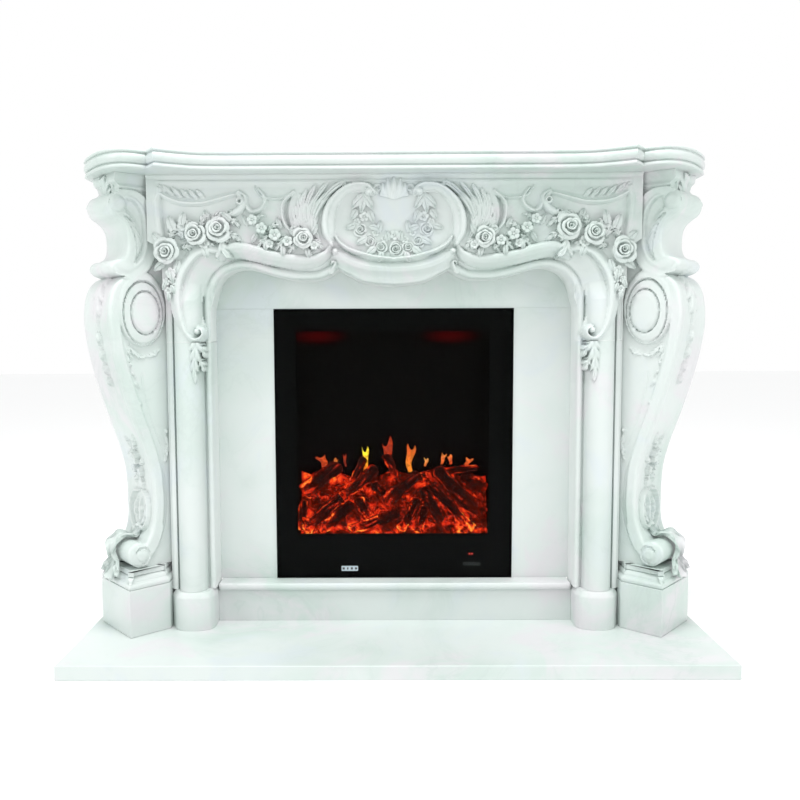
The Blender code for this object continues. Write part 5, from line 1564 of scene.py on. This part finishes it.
def buildEmberBank():
    look = bankLook
    low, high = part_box("log_bed")
    columns, rows = look["columns"], look["rows"]
    points = []
    for row in range(rows + 1):
        share = row / rows
        for column in range(columns + 1):
            x = low[0] + (high[0] - low[0]) * column / columns
            lump = sum(size * math.sin(a * x + b * share + c) for size, a, b, c in look["lumps"])
            lump += 0.003 * math.sin(37 * share + 5 * math.sin(60 * x))
            y = look["front"] + look["deep"] * share ** 0.8 + lump * (1 if 0 < share < 1 else 0.4)
            z = look["foot"] + look["climb"] * share
            z += 0.010 * math.sin(19 * x) * share
            z += 0.008 * math.sin(47 * x + 2) * share
            points.append((x, max(look["least"], y), z))
    heat = []
    for number, (x, y, z) in enumerate(points):
        share = number // (columns + 1) / rows
        glow = 0.16 + 0.22 * max(0.0, math.sin(31 * x + 5 * math.sin(38 * z) + 1))
        for u, amount in fireLook["hotSpots"]:
            spot = fireSpot(u, 530, 0)[0]
            glow += amount * math.exp(-((x - spot) / 0.016) ** 2) * max(0.0, 1 - share / 0.30)
        glow += 0.45 * max(0.0, math.sin(85 * x + 2)) * max(0.0, (share - 0.80) / 0.20)
        heat.append(min(1.0, glow))
    count = len(points)
    for column in range(columns + 1):
        x, y, z = points[rows * (columns + 1) + column]
        points.append((x, look["back"], z - 0.004))
    for column in range(columns + 1):
        x = points[column][0]
        points.append((x, look["back"], low[2]))
    for column in range(columns + 1):
        points.append((points[column][0], look["underside"], low[2]))
    faces = []
    strips = [np.arange(r * (columns + 1), (r + 1) * (columns + 1)) for r in range(rows + 1)]
    strips += [np.arange(count + r * (columns + 1), count + (r + 1) * (columns + 1)) for r in range(3)]
    strips.append(strips[0])
    for lower, upper in zip(strips, strips[1:]):
        for k in range(columns):
            faces.append((lower[k], lower[k + 1], upper[k + 1], upper[k]))
    for side in (0, columns):
        ring = [int(strip[side]) for strip in strips[:-1]]
        faces.append(tuple(ring if side == 0 else reversed(ring)))
    piece = makePiece("emberBank", points, faces, emberAsh, "ember_logs", ["log_bed"], 60)
    warm(piece, heat + [0.1] * (len(points) - len(heat)))


# Flames stand at the back of the logs as thin forked tongues
flameLook = {"rows": 18, "columns": 10, "thin": 0.0015, "foot": 0.42, "spread": 0.58, "sway": 0.20,
             "flutter": 0.06, "fork": 0.26, "lean": 0.10}


def buildFlames():
    look = flameLook
    for number, (root, tall, wide, low, high) in enumerate(fireLook["flames"]):
        base = fireSpot(*root, 1.0)
        tall = tall * fireLook["pixelZ"][2]
        wide = wide * fireLook["pixelX"][2]
        finish = Finish("flameLight%02d" % (number + 1),
                        **{"Base Color": (0.01, 0.002, 0.0), "Roughness": 0.9})
        wisp = finish.noise(75, 4, 0.55, 1.2)
        height = finish.add("ShaderNodeSeparateXYZ", {}, {0: finish.place()}, out=2)
        colour = finish.blend(finish.ramp(height, base[2], base[2] + 0.9 * tall), low, high)
        dim = tuple(0.35 * c for c in low)
        finish.feed({"Emission Color": finish.blend(finish.ramp(wisp, 0.60, 0.40) * 0.7, colour, dim),
                     "Emission Strength": fireLook["flameStrength"]})
        rows, columns = look["rows"], look["columns"]
        points = []
        for side in (1, -1):
            for row in range(rows + 1):
                share = row / rows
                sway = look["sway"] * wide * math.sin(3.1 * share + 1.9 * number)
                sway += look["flutter"] * wide * math.sin(9 * share + number)
                reach = wide / 2 * (look["foot"] + look["spread"] * share ** 1.4)
                reach *= 1 if share < 0.85 else 1 - 1.6 * (share - 0.85)
                for column in range(columns + 1):
                    u = 2 * column / columns - 1
                    notch = abs(math.cos(math.pi * 0.5 * (u + 0.2 * math.sin(number)))) ** 0.8
                    fork = look["fork"] * share ** 5 * notch
                    lean = look["lean"] * share ** 4 * u * math.sin(2 * number)
                    points.append((base[0] + sway + reach * u,
                                   base[1] - side * look["thin"] * (1 - u * u) * (1 - share),
                                   base[2] + tall * (share - fork + lean)))
        faces = []
        size = (rows + 1) * (columns + 1)
        for side in (0, 1):
            for row in range(rows):
                for column in range(columns):
                    a = side * size + row * (columns + 1) + column
                    face = (a, a + 1, a + columns + 2, a + columns + 1)
                    faces.append(face if side == 0 else tuple(reversed(face)))
        makePiece("flame%02d" % (number + 1), points, faces, finish.material, "ember_logs", ["log_bed"], 80)


def makeFireFinishes():
    steel = Finish("blackSteel", **{"Metallic": 0.0, "Specular IOR Level": 0.03})
    dust = steel.noise(55, 4, 0.6)
    steel.feed({"Base Color": steel.blend(dust, (0.0010, 0.0013, 0.0013), (0.0026, 0.0029, 0.0029)),
                "Roughness": 0.55 + dust * 0.18, "Normal": steel.bump(steel.noise(420, 2), 0.12, 0.0003)})
    glass = Finish("tintedGlass", **{"Base Color": (0.86, 0.88, 0.88), "Roughness": 0.02, "IOR": 1.07,
                                     "Transmission Weight": 1.0})
    inside = Finish("fireboxSteel", **{"Roughness": 0.75, "Specular IOR Level": 0.03})
    where = inside.place()
    soot = inside.noise(24, 4, 0.6, 0.4, where)
    glow = None
    # Painted glow: two soft red spots of emission on the firebox steel stand for the fire's light falling
    # on it
    for centre in ((-0.195, 0.16, 0.748), (0.148, 0.16, 0.748)):
        spot = inside.add("ShaderNodeVectorMath", {"operation": "SUBTRACT"}, {0: where, 1: centre})
        spot = inside.add("ShaderNodeVectorMath", {"operation": "MULTIPLY"}, {0: spot, 1: (1.0, 0.0, 3.6)})
        far = inside.add("ShaderNodeVectorMath", {"operation": "LENGTH"}, {0: spot}, out=1)
        light = inside.ramp(far, 0.085, 0.01)
        glow = light if glow is None else glow + light
    inside.feed({"Base Color": inside.blend(soot, (0.0012, 0.0010, 0.0010), (0.003, 0.0025, 0.0025)),
                 "Emission Color": inside.blend(glow, (0.0, 0.0, 0.0), (0.055, 0.0, 0.0)),
                 "Emission Strength": 0.7, "Roughness": 0.7 + soot * 0.2})
    return steel.material, glass.material, inside.material


blackSteel, tintedGlass, fireboxSteel = makeFireFinishes()
for name, finish in (("fire_bezel", blackSteel), ("fire_glass", tintedGlass),
                     ("firebox_case", fireboxSteel)):
    nodes[name].data.materials.clear()
    nodes[name].data.materials.append(finish)


# Plain lights on the control strip, under the glass
controlLook = {
    "plate": (-0.1350, -0.0928, 0.1478, 0.1606), "dots": 4,
    "rings": [(0.1810, 0.1653), (0.1927, 0.1653), (0.2044, 0.1653), (0.2161, 0.1653)],
    "ringSize": (0.0034, 0.0042), "lamps": [(0.1927, 0.1917), (0.1995, 0.1917)], "lampSize": 0.0016,
}


def flatRing(centre, inner, outer, y, sides=28):
    points, faces = [], []
    for depth in (y, y + 0.00008):
        for radius in (outer, inner):
            for k in range(sides):
                angle = 2 * math.pi * k / sides
                points.append((centre[0] + radius * math.cos(angle), depth,
                               centre[1] + radius * math.sin(angle)))
    for k in range(sides):
        m = (k + 1) % sides
        a, b, c, d = (row * sides for row in (0, 1, 3, 2))
        for p, q in ((a, b), (b, c), (c, d), (d, a)):
            faces.append((p + k, p + m, q + m, q + k))
    return np.array(points), faces


def flatPlate(low, high, y, inset=0.0012):
    plan = roundCorners([(low[0], low[1]), (high[0], low[1]), (high[0], high[1]), (low[0], high[1])],
                        [inset] * 4, 4)
    rings = [np.column_stack([plan[:, 0], np.full(len(plan), depth), plan[:, 1]])
             for depth in (y + 0.00008, y)]
    return sweepRings(rings)


def joined(parts):
    points, faces, count = [], [], 0
    for partPoints, partFaces in parts:
        points.append(np.asarray(partPoints))
        faces += [tuple(i + count for i in f) for f in partFaces]
        count += len(partPoints)
    return np.vstack(points), faces


def buildControls():
    look = controlLook
    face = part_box("fire_glass")[1][1] + 0.00010
    pale = Finish("displayPlate", **{"Roughness": 0.5})
    weave = pale.noise(900, 2)
    pale.feed({"Base Color": pale.blend(weave, (0.35, 0.40, 0.42), (0.45, 0.50, 0.52)),
               "Emission Color": pale.blend(weave, (0.30, 0.36, 0.40), (0.40, 0.46, 0.50)),
               "Emission Strength": 0.9})
    left, right, low, high = look["plate"]
    makePiece("displayPlate", *flatPlate((left, low), (right, high), face), pale.material, "dark_glass",
              [])
    dark = Finish("displayDots", **{"Roughness": 0.6})
    dark.feed({"Base Color": dark.blend(dark.noise(400, 2), (0.01, 0.012, 0.014), (0.02, 0.024, 0.028))})
    pitch = (right - left) / look["dots"]
    dots = []
    for k in range(look["dots"]):
        x = left + pitch * (k + 0.5)
        half = 0.0028 if k != 1 else 0.0018
        dots.append(flatPlate((x - half, low + 0.0036), (x + half, high - 0.0036), face - 0.00008, 0.0008))
    makePiece("displayDots", *joined(dots), dark.material, "dark_glass", [])
    grey = Finish("ringMarks", **{"Roughness": 0.5, "Emission Strength": 0.5})
    grey.feed({"Base Color": grey.blend(grey.noise(500, 2), (0.10, 0.11, 0.11), (0.16, 0.17, 0.17)),
               "Emission Color": (0.10, 0.11, 0.11)})
    inner, outer = look["ringSize"]
    makePiece("ringMarks", *joined([flatRing(c, inner, outer, face) for c in look["rings"]]), grey.material,
              "dark_glass", [])
    red = Finish("redLamps", **{"Roughness": 0.5, "Emission Strength": 2.0})
    red.feed({"Base Color": red.blend(red.noise(700, 2), (0.3, 0.02, 0.02), (0.4, 0.04, 0.03)),
              "Emission Color": (0.8, 0.06, 0.05)})
    size = look["lampSize"]
    makePiece("redLamps", *joined([flatPlate((x - size, z - size), (x + size, z + size), face, 0.0007)
                                   for x, z in look["lamps"]]), red.material, "dark_glass", [])


buildEmberBank()
buildLogs()
buildFlames()
buildControls()
